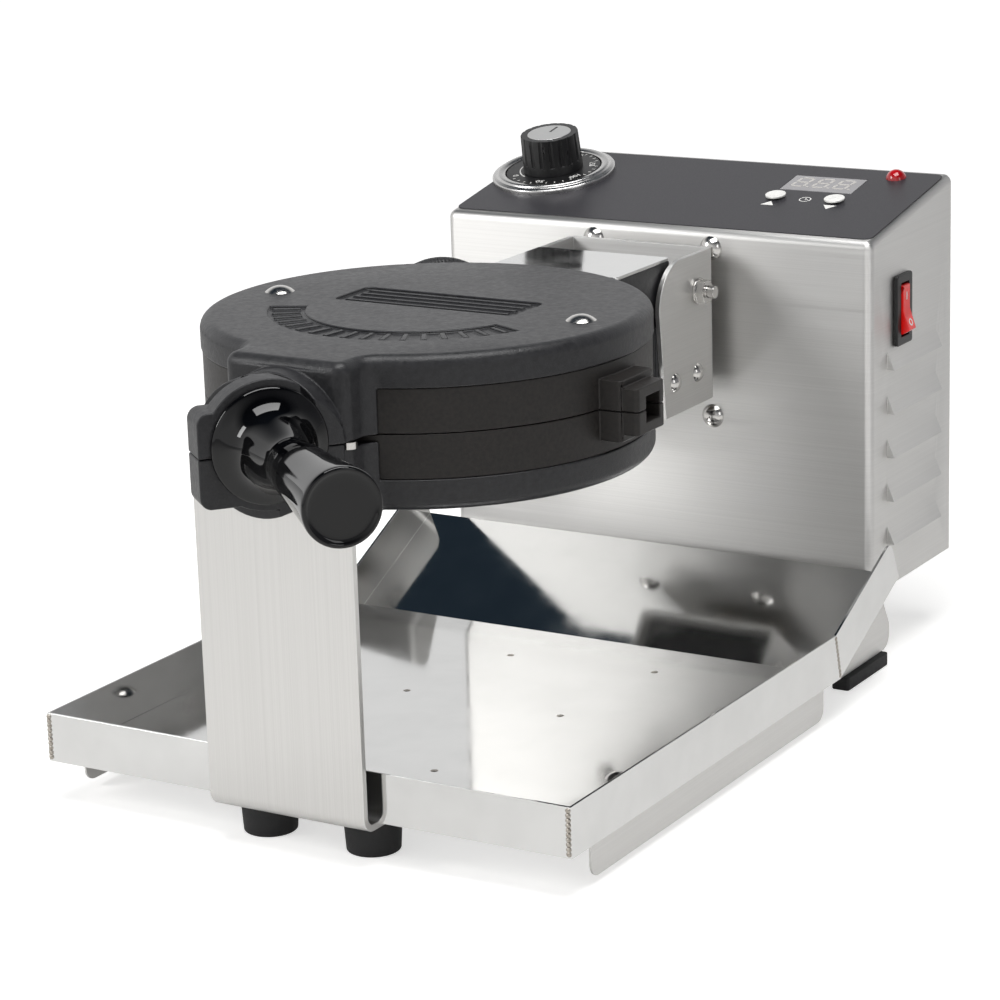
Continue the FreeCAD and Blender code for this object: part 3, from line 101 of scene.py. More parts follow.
def add_node(tree: bpy.types.NodeTree, kind: str, settings: dict | None = None,
             links: dict | None = None) -> bpy.types.Node:
    """Add a node with its settings and its incoming links.

    Args:
        tree: The node tree that gets the node.
        kind: The node's type name.
        settings: Values by socket name or number, or by attribute name.
        links: Source sockets by the name or number of the socket that they go to.

    Returns:
        The new node.
    """
    node = tree.nodes.new(kind)
    for key, value in (settings or {}).items():
        if isinstance(key, int) or key in node.inputs:
            node.inputs[key].default_value = value
        else:
            setattr(node, key, value)
    for key, source in (links or {}).items():
        tree.links.new(source, node.inputs[key])
    return node


class Grain(Enum):
    """Which way the brush lines of a sheet run, as the size in mm of one line along X, Y and Z."""

    ACROSS = (220.0, 220.0, 0.55)
    UPRIGHT = (0.55, 220.0, 220.0)


@dataclass(frozen=True)
class Finish:
    """A surface: its colours, its gloss, and a pattern of grains that varies them."""

    # Values of the pattern between which gloss and tone go from one end to the other.
    gloss_ends: ClassVar[tuple[float, float]] = (0.3, 0.7)
    tone_ends: ClassVar[tuple[float, float]] = (0.32, 0.68)
    coat_roughness: ClassVar[float] = 0.08
    fine_share: ClassVar[float] = 0.55

    name: str
    colour: str
    shade: str
    roughness: tuple[float, float] = (0.4, 0.5)
    metallic: float = 0.0
    coat: float = 0.0
    specular: float = 0.5
    relief_mm: float = 0.0
    pattern_mm: tuple[float, float, float] = (2.0, 2.0, 2.0)
    detail: float = 3.0

    def material(self) -> bpy.types.Material:
        """Make the material on its first use.

        Returns:
            The Blender material of this finish.
        """
        if self.name in bpy.data.materials:
            return bpy.data.materials[self.name]
        material = bpy.data.materials.new(self.name)
        material.use_nodes = True
        tree = material.node_tree
        tree.nodes.clear()
        shader = add_node(tree, "ShaderNodeBsdfPrincipled", {
            "Metallic": self.metallic, "Coat Weight": self.coat, "Coat Roughness": self.coat_roughness,
            "Specular IOR Level": self.specular})
        add_node(tree, "ShaderNodeOutputMaterial", {}, {"Surface": shader.outputs["BSDF"]})
        self.paint(tree, shader, self.pattern(tree))
        return material

    def pattern(self, tree: bpy.types.NodeTree) -> bpy.types.NodeSocket:
        """Grains of this finish's size in the object's own space.

        Args:
            tree: The material's nodes.

        Returns:
            A value from 0 to 1 that wanders over the surface.
        """
        place = add_node(tree, "ShaderNodeTexCoord")
        stretch = add_node(tree, "ShaderNodeMapping",
                           {"Scale": [MM_PER_M / size for size in self.pattern_mm]},
                           {"Vector": place.outputs["Object"]})
        noise = add_node(tree, "ShaderNodeTexNoise",
                         {"Scale": 1.0, "Detail": self.detail, "Roughness": self.fine_share},
                         {"Vector": stretch.outputs["Vector"]})
        return noise.outputs["Fac"]

    def paint(self, tree: bpy.types.NodeTree, shader: bpy.types.Node, grains: bpy.types.NodeSocket) -> None:
        """Drive colour, gloss and relief from the pattern.

        Args:
            tree: The material's nodes.
            shader: The surface shader.
            grains: The pattern's value.
        """
        gloss = add_node(tree, "ShaderNodeMapRange",
                         {"From Min": self.gloss_ends[0], "From Max": self.gloss_ends[1],
                          "To Min": self.roughness[0], "To Max": self.roughness[1]}, {"Value": grains})
        tree.links.new(gloss.outputs["Result"], shader.inputs["Roughness"])
        tones = add_node(tree, "ShaderNodeValToRGB", {}, {"Fac": grains})
        tones.color_ramp.elements[0].position = self.tone_ends[0]
        tones.color_ramp.elements[0].color = linear(self.shade)
        tones.color_ramp.elements[1].position = self.tone_ends[1]
        tones.color_ramp.elements[1].color = linear(self.colour)
        tree.links.new(tones.outputs["Color"], shader.inputs["Base Color"])
        if self.relief_mm:
            bump = add_node(tree, "ShaderNodeBump", {"Strength": 1.0, "Distance": mm(self.relief_mm)},
                            {"Height": grains})
            tree.links.new(bump.outputs["Normal"], shader.inputs["Normal"])


@dataclass(frozen=True)
class BrushedSheet(Finish):
    """Belt-brushed sheet: its fine parallel lines spread each reflection across them."""

    spread: float = 0.7
    across_lines: float = 0.25

    def paint(self, tree: bpy.types.NodeTree, shader: bpy.types.Node, grains: bpy.types.NodeSocket) -> None:
        """Stretch the reflections across the brush lines.

        Args:
            tree: The material's nodes.
            shader: The surface shader.
            grains: The lines' value.
        """
        super().paint(tree, shader, grains)
        level = add_node(tree, "ShaderNodeTangent", {"direction_type": "RADIAL", "axis": "Z"})
        tree.links.new(level.outputs["Tangent"], shader.inputs["Tangent"])
        shader.inputs["Anisotropic"].default_value = self.spread
        shader.inputs["Anisotropic Rotation"].default_value = self.across_lines


@dataclass(frozen=True)
class ScuffedSheet(Finish):
    """Polished sheet: long shallow waves bend its reflections, and wiping scuffs dull them in places."""

    wave_mm: float = 70.0
    wave_relief_mm: float = 0.05

    def paint(self, tree: bpy.types.NodeTree, shader: bpy.types.Node, grains: bpy.types.NodeSocket) -> None:
        """Add the sheet's waves to the scuffs.

        Args:
            tree: The material's nodes.
            shader: The surface shader.
            grains: The scuffs' value.
        """
        super().paint(tree, shader, grains)
        place = add_node(tree, "ShaderNodeTexCoord")
        stretch = add_node(tree, "ShaderNodeMapping", {"Scale": [MM_PER_M / self.wave_mm] * 3},
                           {"Vector": place.outputs["Object"]})
        waves = add_node(tree, "ShaderNodeTexNoise", {"Scale": 1.0, "Detail": 1.0},
                         {"Vector": stretch.outputs["Vector"]})
        bump = add_node(tree, "ShaderNodeBump", {"Strength": 1.0, "Distance": mm(self.wave_relief_mm)},
                        {"Height": waves.outputs["Fac"]})
        tree.links.new(bump.outputs["Normal"], shader.inputs["Normal"])


@dataclass(frozen=True)
class SandCasting(Finish):
    """Coated casting: coarse sand grit under the coating, with a finer tooth on top of it."""

    tooth_mm: float = 0.8
    tooth_relief_mm: float = 0.055

    def paint(self, tree: bpy.types.NodeTree, shader: bpy.types.Node, grains: bpy.types.NodeSocket) -> None:
        """Lay the fine tooth over the grit.

        Args:
            tree: The material's nodes.
            shader: The surface shader.
            grains: The grit's value.
        """
        super().paint(tree, shader, grains)
        coarse = shader.inputs["Normal"].links[0].from_socket
        place = add_node(tree, "ShaderNodeTexCoord")
        stretch = add_node(tree, "ShaderNodeMapping", {"Scale": [MM_PER_M / self.tooth_mm] * 3},
                           {"Vector": place.outputs["Object"]})
        cells = add_node(tree, "ShaderNodeTexVoronoi", {"Scale": 1.0},
                         {"Vector": stretch.outputs["Vector"]})
        bump = add_node(tree, "ShaderNodeBump", {"Strength": 1.0, "Distance": mm(self.tooth_relief_mm)},
                        {"Height": cells.outputs["Distance"], "Normal": coarse})
        tree.links.new(bump.outputs["Normal"], shader.inputs["Normal"])


@dataclass(frozen=True)
class TintedLens(Finish):
    """Tinted clear plastic: a faint painted glow of its colour, given as emission, stands in for light that
    goes a little way in and comes back.
    """

    # Strength of the painted glow: emission in the plastic's colour, though the part is no lamp.
    glow: float = 0.25
    refraction: float = 1.49

    def paint(self, tree: bpy.types.NodeTree, shader: bpy.types.Node, grains: bpy.types.NodeSocket) -> None:
        """Add the painted glow of the tinted plastic, as emission in its colour.

        Args:
            tree: The material's nodes.
            shader: The surface shader.
            grains: Faint moulding flow.
        """
        super().paint(tree, shader, grains)
        shader.inputs["IOR"].default_value = self.refraction
        # The emission below is a painted glow in the plastic's own colour.
        shader.inputs["Emission Color"].default_value = linear(self.colour)
        shader.inputs["Emission Strength"].default_value = self.glow


@dataclass(frozen=True)
class BraidedSleeve(Finish):
    """Braided sleeve: crossing diagonal strands in relief, with a tone painted lighter on each strand as
    painted highlight and darker between strands as painted shade.
    """

    # A wave repeats after about 0.31 of its unit, so this gives strands 1.5 mm apart.
    strand_mm: float = 4.8
    lean: float = 0.8
    wander: float = 0.4

    def pattern(self, tree: bpy.types.NodeTree) -> bpy.types.NodeSocket:
        """Two sets of slanting strands, and at each place the higher of the two.

        Args:
            tree: The material's nodes.

        Returns:
            High on a strand and low between strands.
        """
        place = add_node(tree, "ShaderNodeTexCoord")
        sets = []
        for turn in (self.lean, -self.lean):
            slant = add_node(tree, "ShaderNodeMapping",
                             {"Rotation": (turn, turn, 0.0), "Scale": [MM_PER_M / self.strand_mm] * 3},
                             {"Vector": place.outputs["Object"]})
            strands = add_node(tree, "ShaderNodeTexWave", {"Scale": 1.0, "Distortion": self.wander},
                               {"Vector": slant.outputs["Vector"]})
            sets.append(strands.outputs["Fac"])
        cross = add_node(tree, "ShaderNodeMath", {"operation": "MAXIMUM"}, {0: sets[0], 1: sets[1]})
        # This value also sets the tone: painted highlight on the strands, painted shade between them.
        return cross.outputs["Value"]


# Stainless sheet brushed with a belt: fine parallel lines that smear reflections across them. The real
# lines are about 0.1 mm apart, and are drawn near 0.5 mm so that they show.
SHEET_ACROSS = BrushedSheet("stainless_belt_brushed_across", "#d8d7d5", "#d0cfcd", (0.42, 0.52), 1.0,
                            relief_mm=0.0015, pattern_mm=Grain.ACROSS.value, detail=4.0)
SHEET_UPRIGHT = BrushedSheet("stainless_belt_brushed_upright", "#d2d1cf", "#cbcac8", (0.32, 0.38), 1.0,
                             relief_mm=0.0015, pattern_mm=Grain.UPRIGHT.value, detail=4.0, spread=0.5,
                             across_lines=0.0)
# Stainless sheet polished to a mirror: clear reflections, bent a little by the thin sheet.
SHEET_POLISHED = ScuffedSheet("stainless_mirror_polished", "#d2d2d1", "#cccccb", (0.05, 0.13), 1.0,
                              pattern_mm=(24.0, 24.0, 24.0))
# Polished stainless fasteners and trim: small bright heads with soft dark bands.
HARDWARE = Finish("stainless_polished_hardware", "#cfcdca", "#bebcb9", (0.14, 0.24), 1.0,
                  pattern_mm=(1.0, 1.0, 1.0))
# Turned and milled mild steel inside the machine: darker, with tool marks.
TURNED_STEEL = Finish("mild_steel_machined", "#a5a29d", "#86837e", (0.3, 0.45), 1.0,
                      pattern_mm=(20.0, 0.8, 20.0))
# Sintered bronze of the bush: warm and dull.
BRONZE = Finish("bronze_sintered_bush", "#b08a4e", "#8d6a38", (0.35, 0.5), 1.0)
# Cast aluminium with a baked dark coating: satin charcoal with a sandy tooth. Real grit is under 0.5 mm
# and is drawn at 0.8 mm, over swells of 2.6 mm, so that it shows.
CAST_COVER = SandCasting("cast_aluminium_coated_charcoal", "#2d2d2f", "#232325", (0.36, 0.48),
                         specular=0.36, relief_mm=0.09, pattern_mm=(2.6, 2.6, 2.6), detail=4.0)
# The same casting, machined before coating on the plates: a little browner and closer grained.
CAST_PLATE = SandCasting("cast_aluminium_coated_plate", "#2a2725", "#201e1d", (0.4, 0.5), specular=0.3,
                         relief_mm=0.02, pattern_mm=(1.8, 1.8, 1.8), tooth_relief_mm=0.02)
# Oxidised steel sheath of a tubular heater: brown-grey heat colours.
HEATER_SHEATH = Finish("steel_heater_sheath_oxidised", "#6b5d50", "#3c342e", (0.45, 0.6), 0.8,
                       pattern_mm=(14.0, 14.0, 14.0))
# Phenolic moulding polished to a high gloss: deep black with clear lamp reflections.
PHENOLIC = Finish("phenolic_moulded_gloss", "#070709", "#040405", (0.035, 0.06), specular=0.4,
                  pattern_mm=(9.0, 9.0, 9.0))
# Moulded ABS of knob, dial, frame and gland: satin black with a spark-eroded texture. Its pits are finer
# than 0.1 mm and are drawn at 0.5 mm so that they show.
BLACK_PLASTIC = Finish("abs_moulded_black_satin", "#141415", "#0e0e0f", (0.34, 0.46), relief_mm=0.012,
                       pattern_mm=(0.5, 0.5, 0.5))
# Printed polyester film of the panel: dark grey, with a velvet grain. The grain is finer than 0.1 mm and
# is drawn at 0.6 mm so that it shows.
PANEL_FILM = Finish("polyester_film_printed_grey", "#333236", "#2e2d31", (0.36, 0.46), specular=0.4,
                    relief_mm=0.006, pattern_mm=(0.6, 0.6, 0.6))
# White screen ink on the film and the dial: flat and slightly uneven.
WHITE_INK = Finish("screen_ink_white", "#f2f1ee", "#e6e5e2", (0.45, 0.6), pattern_mm=(1.5, 1.5, 1.5))
# Acrylic window over unlit digits: mid grey and glossy.
SMOKED_WINDOW = Finish("acrylic_window_grey", "#8f8d8f", "#828083", (0.1, 0.16), coat=0.4,
                       pattern_mm=(12.0, 12.0, 12.0))
# Unlit digit segments behind the window: pale and flat.
DIGIT = Finish("digit_segments_unlit", "#c4c1bd", "#b7b4b0", (0.4, 0.5))
# White moulded keys: clean, a little glossy.
WHITE_KEY = Finish("abs_moulded_white", "#f0efec", "#e3e2df", (0.25, 0.34), pattern_mm=(4.0, 4.0, 4.0))
# Red clear polycarbonate of the lamp lens and of the switch key: glossy and strong red, with a faint
# painted glow of red given as emission, more on the key.
LAMP_LENS = TintedLens("polycarbonate_lens_red", "#b3121a", "#8c0a12", (0.08, 0.14), coat=0.5,
                       pattern_mm=(5.0, 5.0, 5.0), glow=0.05)
SWITCH_KEY = TintedLens("polycarbonate_key_red", "#d10f0b", "#b80a08", (0.12, 0.2), coat=0.4,
                        pattern_mm=(6.0, 6.0, 6.0), glow=0.3)
# Spun aluminium cap of the knob: bright and satin, with soft clouds from handling.
SPUN_CAP = Finish("aluminium_spun_satin", "#dededd", "#d2d2d1", (0.28, 0.38), 1.0,
                  pattern_mm=(9.0, 9.0, 9.0))
# Turned stainless ring of the dial: a soft lathe sheen with a bright rim.
TURNED_RING = Finish("stainless_turned_satin", "#c9c8c7", "#bdbcbb", (0.22, 0.32), 1.0,
                     pattern_mm=(6.0, 6.0, 6.0))
# Moulded rubber of the feet: flat black with a dusty bloom.
RUBBER = Finish("rubber_moulded_black", "#222223", "#161617", (0.62, 0.8), relief_mm=0.03,
                pattern_mm=(1.4, 1.4, 1.4))
# Glass fibre sleeve over the heater lead: dark satin strands that cross, in real relief, with painted
# highlight on each strand and painted shade between them.
SLEEVE = BraidedSleeve("glass_fibre_sleeve_black", "#2b2b2d", "#101011", (0.4, 0.6), relief_mm=0.2)
# Weld metal at the tray's corners: dull grey ripples with straw tints.
WELD = Finish("stainless_weld_bead", "#bdb8b0", "#8c857c", (0.3, 0.5), 1.0, relief_mm=0.03,
              pattern_mm=(1.2, 1.2, 1.2))
# Fibreglass board of the timer: an even green under thin glossy lacquer.
BOARD = Finish("fibreglass_board_green", "#1f5a34", "#174528", (0.35, 0.45), coat=0.3)


@dataclass
class Workshop:
    """Makes pieces around the CAD nodes and sets each one on the body that it moves with."""

    crease: float = math.radians(32.0)
    flat: float = math.radians(0.5)
    merge_m: float = 4e-6
    edge_steps: int = 2

    def paint(self, node: str, finish: Finish) -> None:
        """Give a CAD node that stays as it is its finish.

        Args:
            node: The CAD node's name.
            finish: Its surface.
        """
        piece = frame["nodes"][node]
        piece.data.materials.clear()
        piece.data.materials.append(finish.material())
        log.info("painted %s with %s", node, finish.name)

    def dress(self, node: str, finish: Finish, edge_mm: float = 0.0, crease: float | None = None) -> None:
        """Stand a smooth copy with softly broken edges in a CAD node's place.

        Args:
            node: The CAD node's name.
            finish: The copy's surface.
            edge_mm: Width of the broken edges, or 0 for none.
            crease: The smallest angle that stays a sharp fold, or the usual one.
        """
        fold = crease or self.crease
        source = frame["nodes"][node]
        mesh = bmesh.new()
        mesh.from_mesh(source.data)
        bmesh.ops.remove_doubles(mesh, verts=mesh.verts, dist=self.merge_m)
        bmesh.ops.dissolve_limit(mesh, angle_limit=self.flat, use_dissolve_boundaries=False,
                                 verts=mesh.verts, edges=mesh.edges)
        piece = self.piece(node + "_finished", mesh, finish, source["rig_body"], self.slot_of(node),
                           fold)
        if edge_mm:
            edges = piece.modifiers.new("broken_edges", "BEVEL")
            edges.width = mm(edge_mm)
            edges.segments = self.edge_steps
            edges.limit_method = "ANGLE"
            edges.angle_limit = fold
            edges.use_clamp_overlap = False
            edges.harden_normals = True
        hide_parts(node)

    def piece(self, name: str, mesh: bmesh.types.BMesh, finish: Finish, body: str, slot: str,
              crease: float | None = None) -> bpy.types.Object:
        """Turn a finished bmesh into a piece that rides on a body.

        Args:
            name: The piece's name.
            mesh: Its shape, freed here.
            finish: Its surface.
            body: The CAD body that it moves with.
            slot: The record's material slot; not used.
            crease: The smallest angle that stays a sharp fold, or the usual one.

        Returns:
            The new object.
        """
        fold = crease or self.crease
        for face in mesh.faces:
            face.smooth = True
        for edge in mesh.edges:
            edge.smooth = len(edge.link_faces) == 2 and edge.calc_face_angle(0.0) < fold
        data = bpy.data.meshes.new(name)
        mesh.to_mesh(data)
        mesh.free()
        data.materials.append(finish.material())
        made = bpy.data.objects.new(name, data)
        bpy.context.scene.collection.objects.link(made)
        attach(made, body)
        log.info("%s: %d faces on %s", name, len(data.polygons), body)
        return made

    def slot_of(self, node: str) -> str:
        """The record's material slot of a CAD node."""
        return next(row["material_slot"] for row in frame["record"]["subparts"] if row["node"] == node)

    def joint(self, name: str) -> dict:
        """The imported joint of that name."""
        return next(row for row in frame["joints"] if row["name"] == name)


@dataclass
class Panel:
    """The sloping panel's own axes at the dial's centre: X across, Y up the slope, Z out of it."""

    shop: Workshop
    print_mm: float = 0.05

    def axes(self) -> Matrix:
        """Where the panel's axes lie in the frame.

        Returns:
            The matrix from panel to frame.
        """
        turn = self.shop.joint("knob_turn")
        out = Vector(turn["axis"]).normalized()
        across = Vector((1.0, 0.0, 0.0))
        columns = Matrix((across, out.cross(across), out)).transposed()
        return Matrix.Translation(turn["pos_m"]) @ columns.to_4x4()

    def span(self, node: str) -> tuple[Vector, Vector]:
        """Lowest and highest corner of a CAD node along the panel's axes.

        Args:
            node: The CAD node's name.

        Returns:
            Both corners in metres.
        """
        back = self.axes().inverted()
        points = [back @ corner.co for corner in frame["nodes"][node].data.vertices]
        low = Vector([min(p[i] for p in points) for i in range(3)])
        high = Vector([max(p[i] for p in points) for i in range(3)])
        return low, high

    def middle(self, node: str) -> Vector:
        """The middle of a CAD node's outer face, along the panel's axes."""
        low, high = self.span(node)
        return Vector(((low.x + high.x) / 2, (low.y + high.y) / 2, high.z))

    def lay(self, mesh: bmesh.types.BMesh, place: Vector, turn: float = 0.0) -> None:
        """Thicken flat printing drawn about the origin and lay it on the panel.

        Args:
            mesh: Flat faces in the XY plane.
            place: Where their origin goes, along the panel's axes.
            turn: How far they are turned about the panel's normal.
        """
        thicken(mesh, self.print_mm)
        matrix = self.axes() @ Matrix.Translation(place) @ Matrix.Rotation(turn, 4, "Z")
        bmesh.ops.transform(mesh, matrix=matrix, verts=mesh.verts)


def polygon(mesh: bmesh.types.BMesh, points_mm: list[tuple[float, float]]) -> None:
    """Add a flat face with these corners, in order, in the XY plane."""
    mesh.faces.new([mesh.verts.new((mm(x), mm(y), 0.0)) for x, y in points_mm])


def rectangle(mesh: bmesh.types.BMesh, x_mm: tuple[float, float], y_mm: tuple[float, float]) -> None:
    """Add a flat rectangle in the XY plane.

    Args:
        mesh: The bmesh that gets the face.
        x_mm: Its left and right side.
        y_mm: Its lower and upper side.
    """
    left, right = x_mm
    bottom, top = y_mm
    polygon(mesh, [(left, bottom), (right, bottom), (right, top), (left, top)])


def ring_face(mesh: bmesh.types.BMesh, inner_mm: float, outer_mm: float, start: float, sweep: float,
              steps: int) -> None:
    """Add a flat ring, or part of one, by spinning a short radial edge.

    Args:
        mesh: The bmesh that gets the faces.
        inner_mm: Inner radius.
        outer_mm: Outer radius.
        start: Angle of the first edge in radians.
        sweep: How far it is spun in radians.
        steps: How many faces it has.
    """
    way = Vector((math.cos(start), math.sin(start), 0.0))
    edge = mesh.edges.new([mesh.verts.new(way * mm(inner_mm)), mesh.verts.new(way * mm(outer_mm))])
    bmesh.ops.spin(mesh, geom=[*edge.verts, edge], cent=(0, 0, 0), axis=(0, 0, 1), angle=sweep,
                   steps=steps, use_merge=math.isclose(sweep, FULL_TURN))


def thicken(mesh: bmesh.types.BMesh, height_mm: float) -> None:
    """Raise flat faces in the XY plane to a thin solid.

    Args:
        mesh: The bmesh with the faces.
        height_mm: How thick they become.
    """
    bmesh.ops.recalc_face_normals(mesh, faces=mesh.faces)
    raised = bmesh.ops.extrude_face_region(mesh, geom=mesh.faces[:])
    corners = [item for item in raised["geom"] if isinstance(item, bmesh.types.BMVert)]
    bmesh.ops.translate(mesh, verts=corners, vec=(0.0, 0.0, mm(height_mm)))
    bmesh.ops.recalc_face_normals(mesh, faces=mesh.faces)


def turned(outline: list[Vector], closed: bool, centre: Vector, axis: Vector,
           steps: int) -> bmesh.types.BMesh:
    """Spin an outline a full turn, as on a lathe.

    Args:
        outline: The outline's points in order, in metres.
        closed: Whether the last point joins the first.
        centre: A point on the axis.
        axis: The axis that it spins about.
        steps: How many steps the turn has.

    Returns:
        The spun shape.
    """
    mesh = bmesh.new()
    line = [mesh.verts.new(point) for point in outline]
    following = line[1:] + line[:1] if closed else line[1:]
    edges = [mesh.edges.new(pair) for pair in zip(line, following)]
    bmesh.ops.spin(mesh, geom=[*line, *edges], cent=centre, axis=axis, angle=FULL_TURN, steps=steps,
                   use_merge=True)
    bmesh.ops.remove_doubles(mesh, verts=mesh.verts, dist=SEAM_M)
    bmesh.ops.recalc_face_normals(mesh, faces=mesh.faces)
    return mesh


def lettering(text: str, size_mm: float) -> bmesh.types.BMesh:
    """Flat generic numerals as a bmesh, centred on the origin.

    Args:
        text: The numerals.
        size_mm: Their height.

    Returns:
        Flat faces in the XY plane.
    """
    curve = bpy.data.curves.new("numerals", "FONT")
    curve.body = text
    curve.size = mm(size_mm) / NUMERAL_SHARE
    curve.align_x = "CENTER"
    curve.align_y = "CENTER"
    holder = bpy.data.objects.new("numerals", curve)
    flat = bpy.data.meshes.new_from_object(holder)
    mesh = bmesh.new()
    mesh.from_mesh(flat)
    bmesh.ops.remove_doubles(mesh, verts=mesh.verts, dist=NUMERAL_SEAM_M)
    bpy.data.objects.remove(holder)
    bpy.data.curves.remove(curve)
    bpy.data.meshes.remove(flat)
    return mesh


def gather(target: bmesh.types.BMesh, extra: bmesh.types.BMesh) -> None:
    """Add one bmesh to another and free it.

    Args:
        target: The bmesh that grows.
        extra: The bmesh that is added and freed.
    """
    holder = bpy.data.meshes.new("gathered")
    extra.to_mesh(holder)
    extra.free()
    target.from_mesh(holder)
    bpy.data.meshes.remove(holder)


@dataclass
class ControlHousing:
    """Brushed sheet box with its sloping panel, display, keys, lamp and mains switch."""

    shop: Workshop
    panel: Panel
    sheet_edge_mm: float = 0.3
    film_edge_mm: float = 0.12
    window_edge_mm: float = 0.15
    moulding_edge_mm: float = 0.3
    rocker_edge_mm: float = 0.5
    digit_count: int = 3
    digit_pitch_mm: float = 11.0
    digit_half_width_mm: float = 3.2
    digit_half_height_mm: float = 5.6
    digit_shift_mm: float = -0.6
    digit_raise_mm: float = 1.2
    digit_bar_mm: float = 1.5
    digit_gap_mm: float = 0.25
    digit_lean: float = 0.12
    point_away_mm: float = 1.6
    point_half_mm: float = 0.7
    arrow_mm: float = 3.4
    arrow_slope: float = 0.75
    arrow_drop_mm: float = 7.8
    clock_radius_mm: float = 3.0
    clock_rim_mm: float = 0.5
    clock_steps: int = 40
    hand_half_mm: float = 0.25
    hands_mm: tuple[float, float] = (1.9, 1.5)
    switch_slope: float = math.radians(18.9)
    switch_face_mm: float = 5.0
    switch_mark_mm: float = 6.4
    switch_print_mm: float = 0.06
    switch_bar_mm: tuple[float, float] = (0.45, 1.8)
    switch_ring_mm: tuple[float, float] = (1.1, 1.8)
    switch_ring_steps: int = 28

    def build(self) -> None:
        """Dress the housing and print its panel."""
        for node in ("housing_shell", "rear_cover", "bottom_plate"):
            self.shop.dress(node, SHEET_ACROSS, self.sheet_edge_mm)
        for node in ("face_screws", "rear_screws"):
            self.shop.dress(node, HARDWARE)
        self.shop.dress("panel_overlay", PANEL_FILM, self.film_edge_mm)
        self.shop.dress("display_window", SMOKED_WINDOW, self.window_edge_mm)
        self.shop.dress("indicator_lamp", LAMP_LENS)
        self.shop.dress("up_button", WHITE_KEY)
        self.shop.dress("down_button", WHITE_KEY)
        self.shop.dress("rocker_frame", BLACK_PLASTIC, self.moulding_edge_mm)
        self.shop.dress("rocker_key", SWITCH_KEY, self.rocker_edge_mm)
        self.shop.dress("lead_gland", BLACK_PLASTIC, self.moulding_edge_mm)
        self.print_panel()
        self.set_digits()
        self.mark_switch()

    def print_panel(self) -> None:
        """White arrows below the keys and a small clock face between them."""
        height = self.panel.span("panel_overlay")[1].z
        marks = bmesh.new()
        middles = []
        for node, way in (("up_button", 1.0), ("down_button", -1.0)):
            key = self.panel.middle(node)
            middles.append(key)
            wide, tip = self.arrow_mm, self.arrow_mm * self.arrow_slope * way
            arrow = bmesh.new()
            polygon(arrow, [(-wide, -tip), (wide, -tip), (0.0, tip)])
            self.panel.lay(arrow, Vector((key.x, key.y - mm(self.arrow_drop_mm), height)))
            gather(marks, arrow)
        clock = bmesh.new()
        ring_face(clock, self.clock_radius_mm - self.clock_rim_mm, self.clock_radius_mm, 0.0, FULL_TURN,
                  self.clock_steps)
        half = self.hand_half_mm
        rectangle(clock, (-half, half), (-half, self.hands_mm[0]))
        rectangle(clock, (half, self.hands_mm[1]), (-half, half))
        between = (middles[0] + middles[1]) / 2
        self.panel.lay(clock, Vector((between.x, between.y, height)))
        gather(marks, clock)
        self.shop.piece("panel_marks", marks, WHITE_INK, "base", "white_plastic")

    def digit(self) -> bmesh.types.BMesh:
        """One figure eight of seven bars with pointed ends.

        Returns:
            Flat faces about the origin.
        """
        mesh = bmesh.new()
        wide, tall, bar = self.digit_half_width_mm, self.digit_half_height_mm, self.digit_bar_mm / 2
        inner = wide - bar - self.digit_gap_mm
        for y in (-tall, 0.0, tall):
            polygon(mesh, [(-inner - bar, y), (-inner, y + bar), (inner, y + bar),
                           (inner + bar, y), (inner, y - bar), (-inner, y - bar)])
        inner = tall / 2 - bar - self.digit_gap_mm
        for x in (-wide, wide):
            for y in (-tall / 2, tall / 2):
                polygon(mesh, [(x, y - inner - bar), (x + bar, y - inner), (x + bar, y + inner),
                               (x, y + inner + bar), (x - bar, y + inner), (x - bar, y - inner)])
        for corner in mesh.verts:
            corner.co.x += corner.co.y * self.digit_lean
        return mesh

    def set_digits(self) -> None:
        """Unlit figures in the display window, each with its point."""
        window = self.panel.middle("display_window")
        half = self.point_half_mm
        x, y = self.digit_half_width_mm + self.point_away_mm, -self.digit_half_height_mm
        figures = bmesh.new()
        for n in range(self.digit_count):
            figure = self.digit()
            rectangle(figure, (x - half, x + half), (y - half, y + half))
            shift = (n - (self.digit_count - 1) / 2) * self.digit_pitch_mm + self.digit_shift_mm
            self.panel.lay(figure, window + Vector((mm(shift), mm(self.digit_raise_mm), 0.0)))
            gather(figures, figure)
        self.shop.piece("display_digits", figures, DIGIT, "base", "window_plastic")

    def mark_switch(self) -> None:
        """A bar on the switch key's upper face and a ring on its lower one."""
        pivot = Matrix.Translation(self.shop.joint("switch_tilt")["pos_m"])
        face = Matrix.Translation((mm(self.switch_face_mm), 0.0, 0.0))
        rise = Vector((0.0, 0.0, mm(self.switch_mark_mm)))
        lean = Matrix.Rotation(-self.switch_slope, 4, "Y")
        outward = Matrix(((0.0, 0.0, 1.0), (1.0, 0.0, 0.0), (0.0, 1.0, 0.0))).to_4x4()
        wide, tall = self.switch_bar_mm
        upper = bmesh.new()
        rectangle(upper, (-wide, wide), (-tall, tall))
        lower = bmesh.new()
        ring_face(lower, *self.switch_ring_mm, 0.0, FULL_TURN, self.switch_ring_steps)
        marks = bmesh.new()
        for mesh, place in ((upper, face @ Matrix.Translation(rise)),
                            (lower, face @ lean @ Matrix.Translation(-rise))):
            thicken(mesh, self.switch_print_mm)
            bmesh.ops.transform(mesh, matrix=pivot @ place @ outward, verts=mesh.verts)
            gather(marks, mesh)
        self.shop.piece("switch_marks", marks, WHITE_INK, "switch_key", "white_plastic")


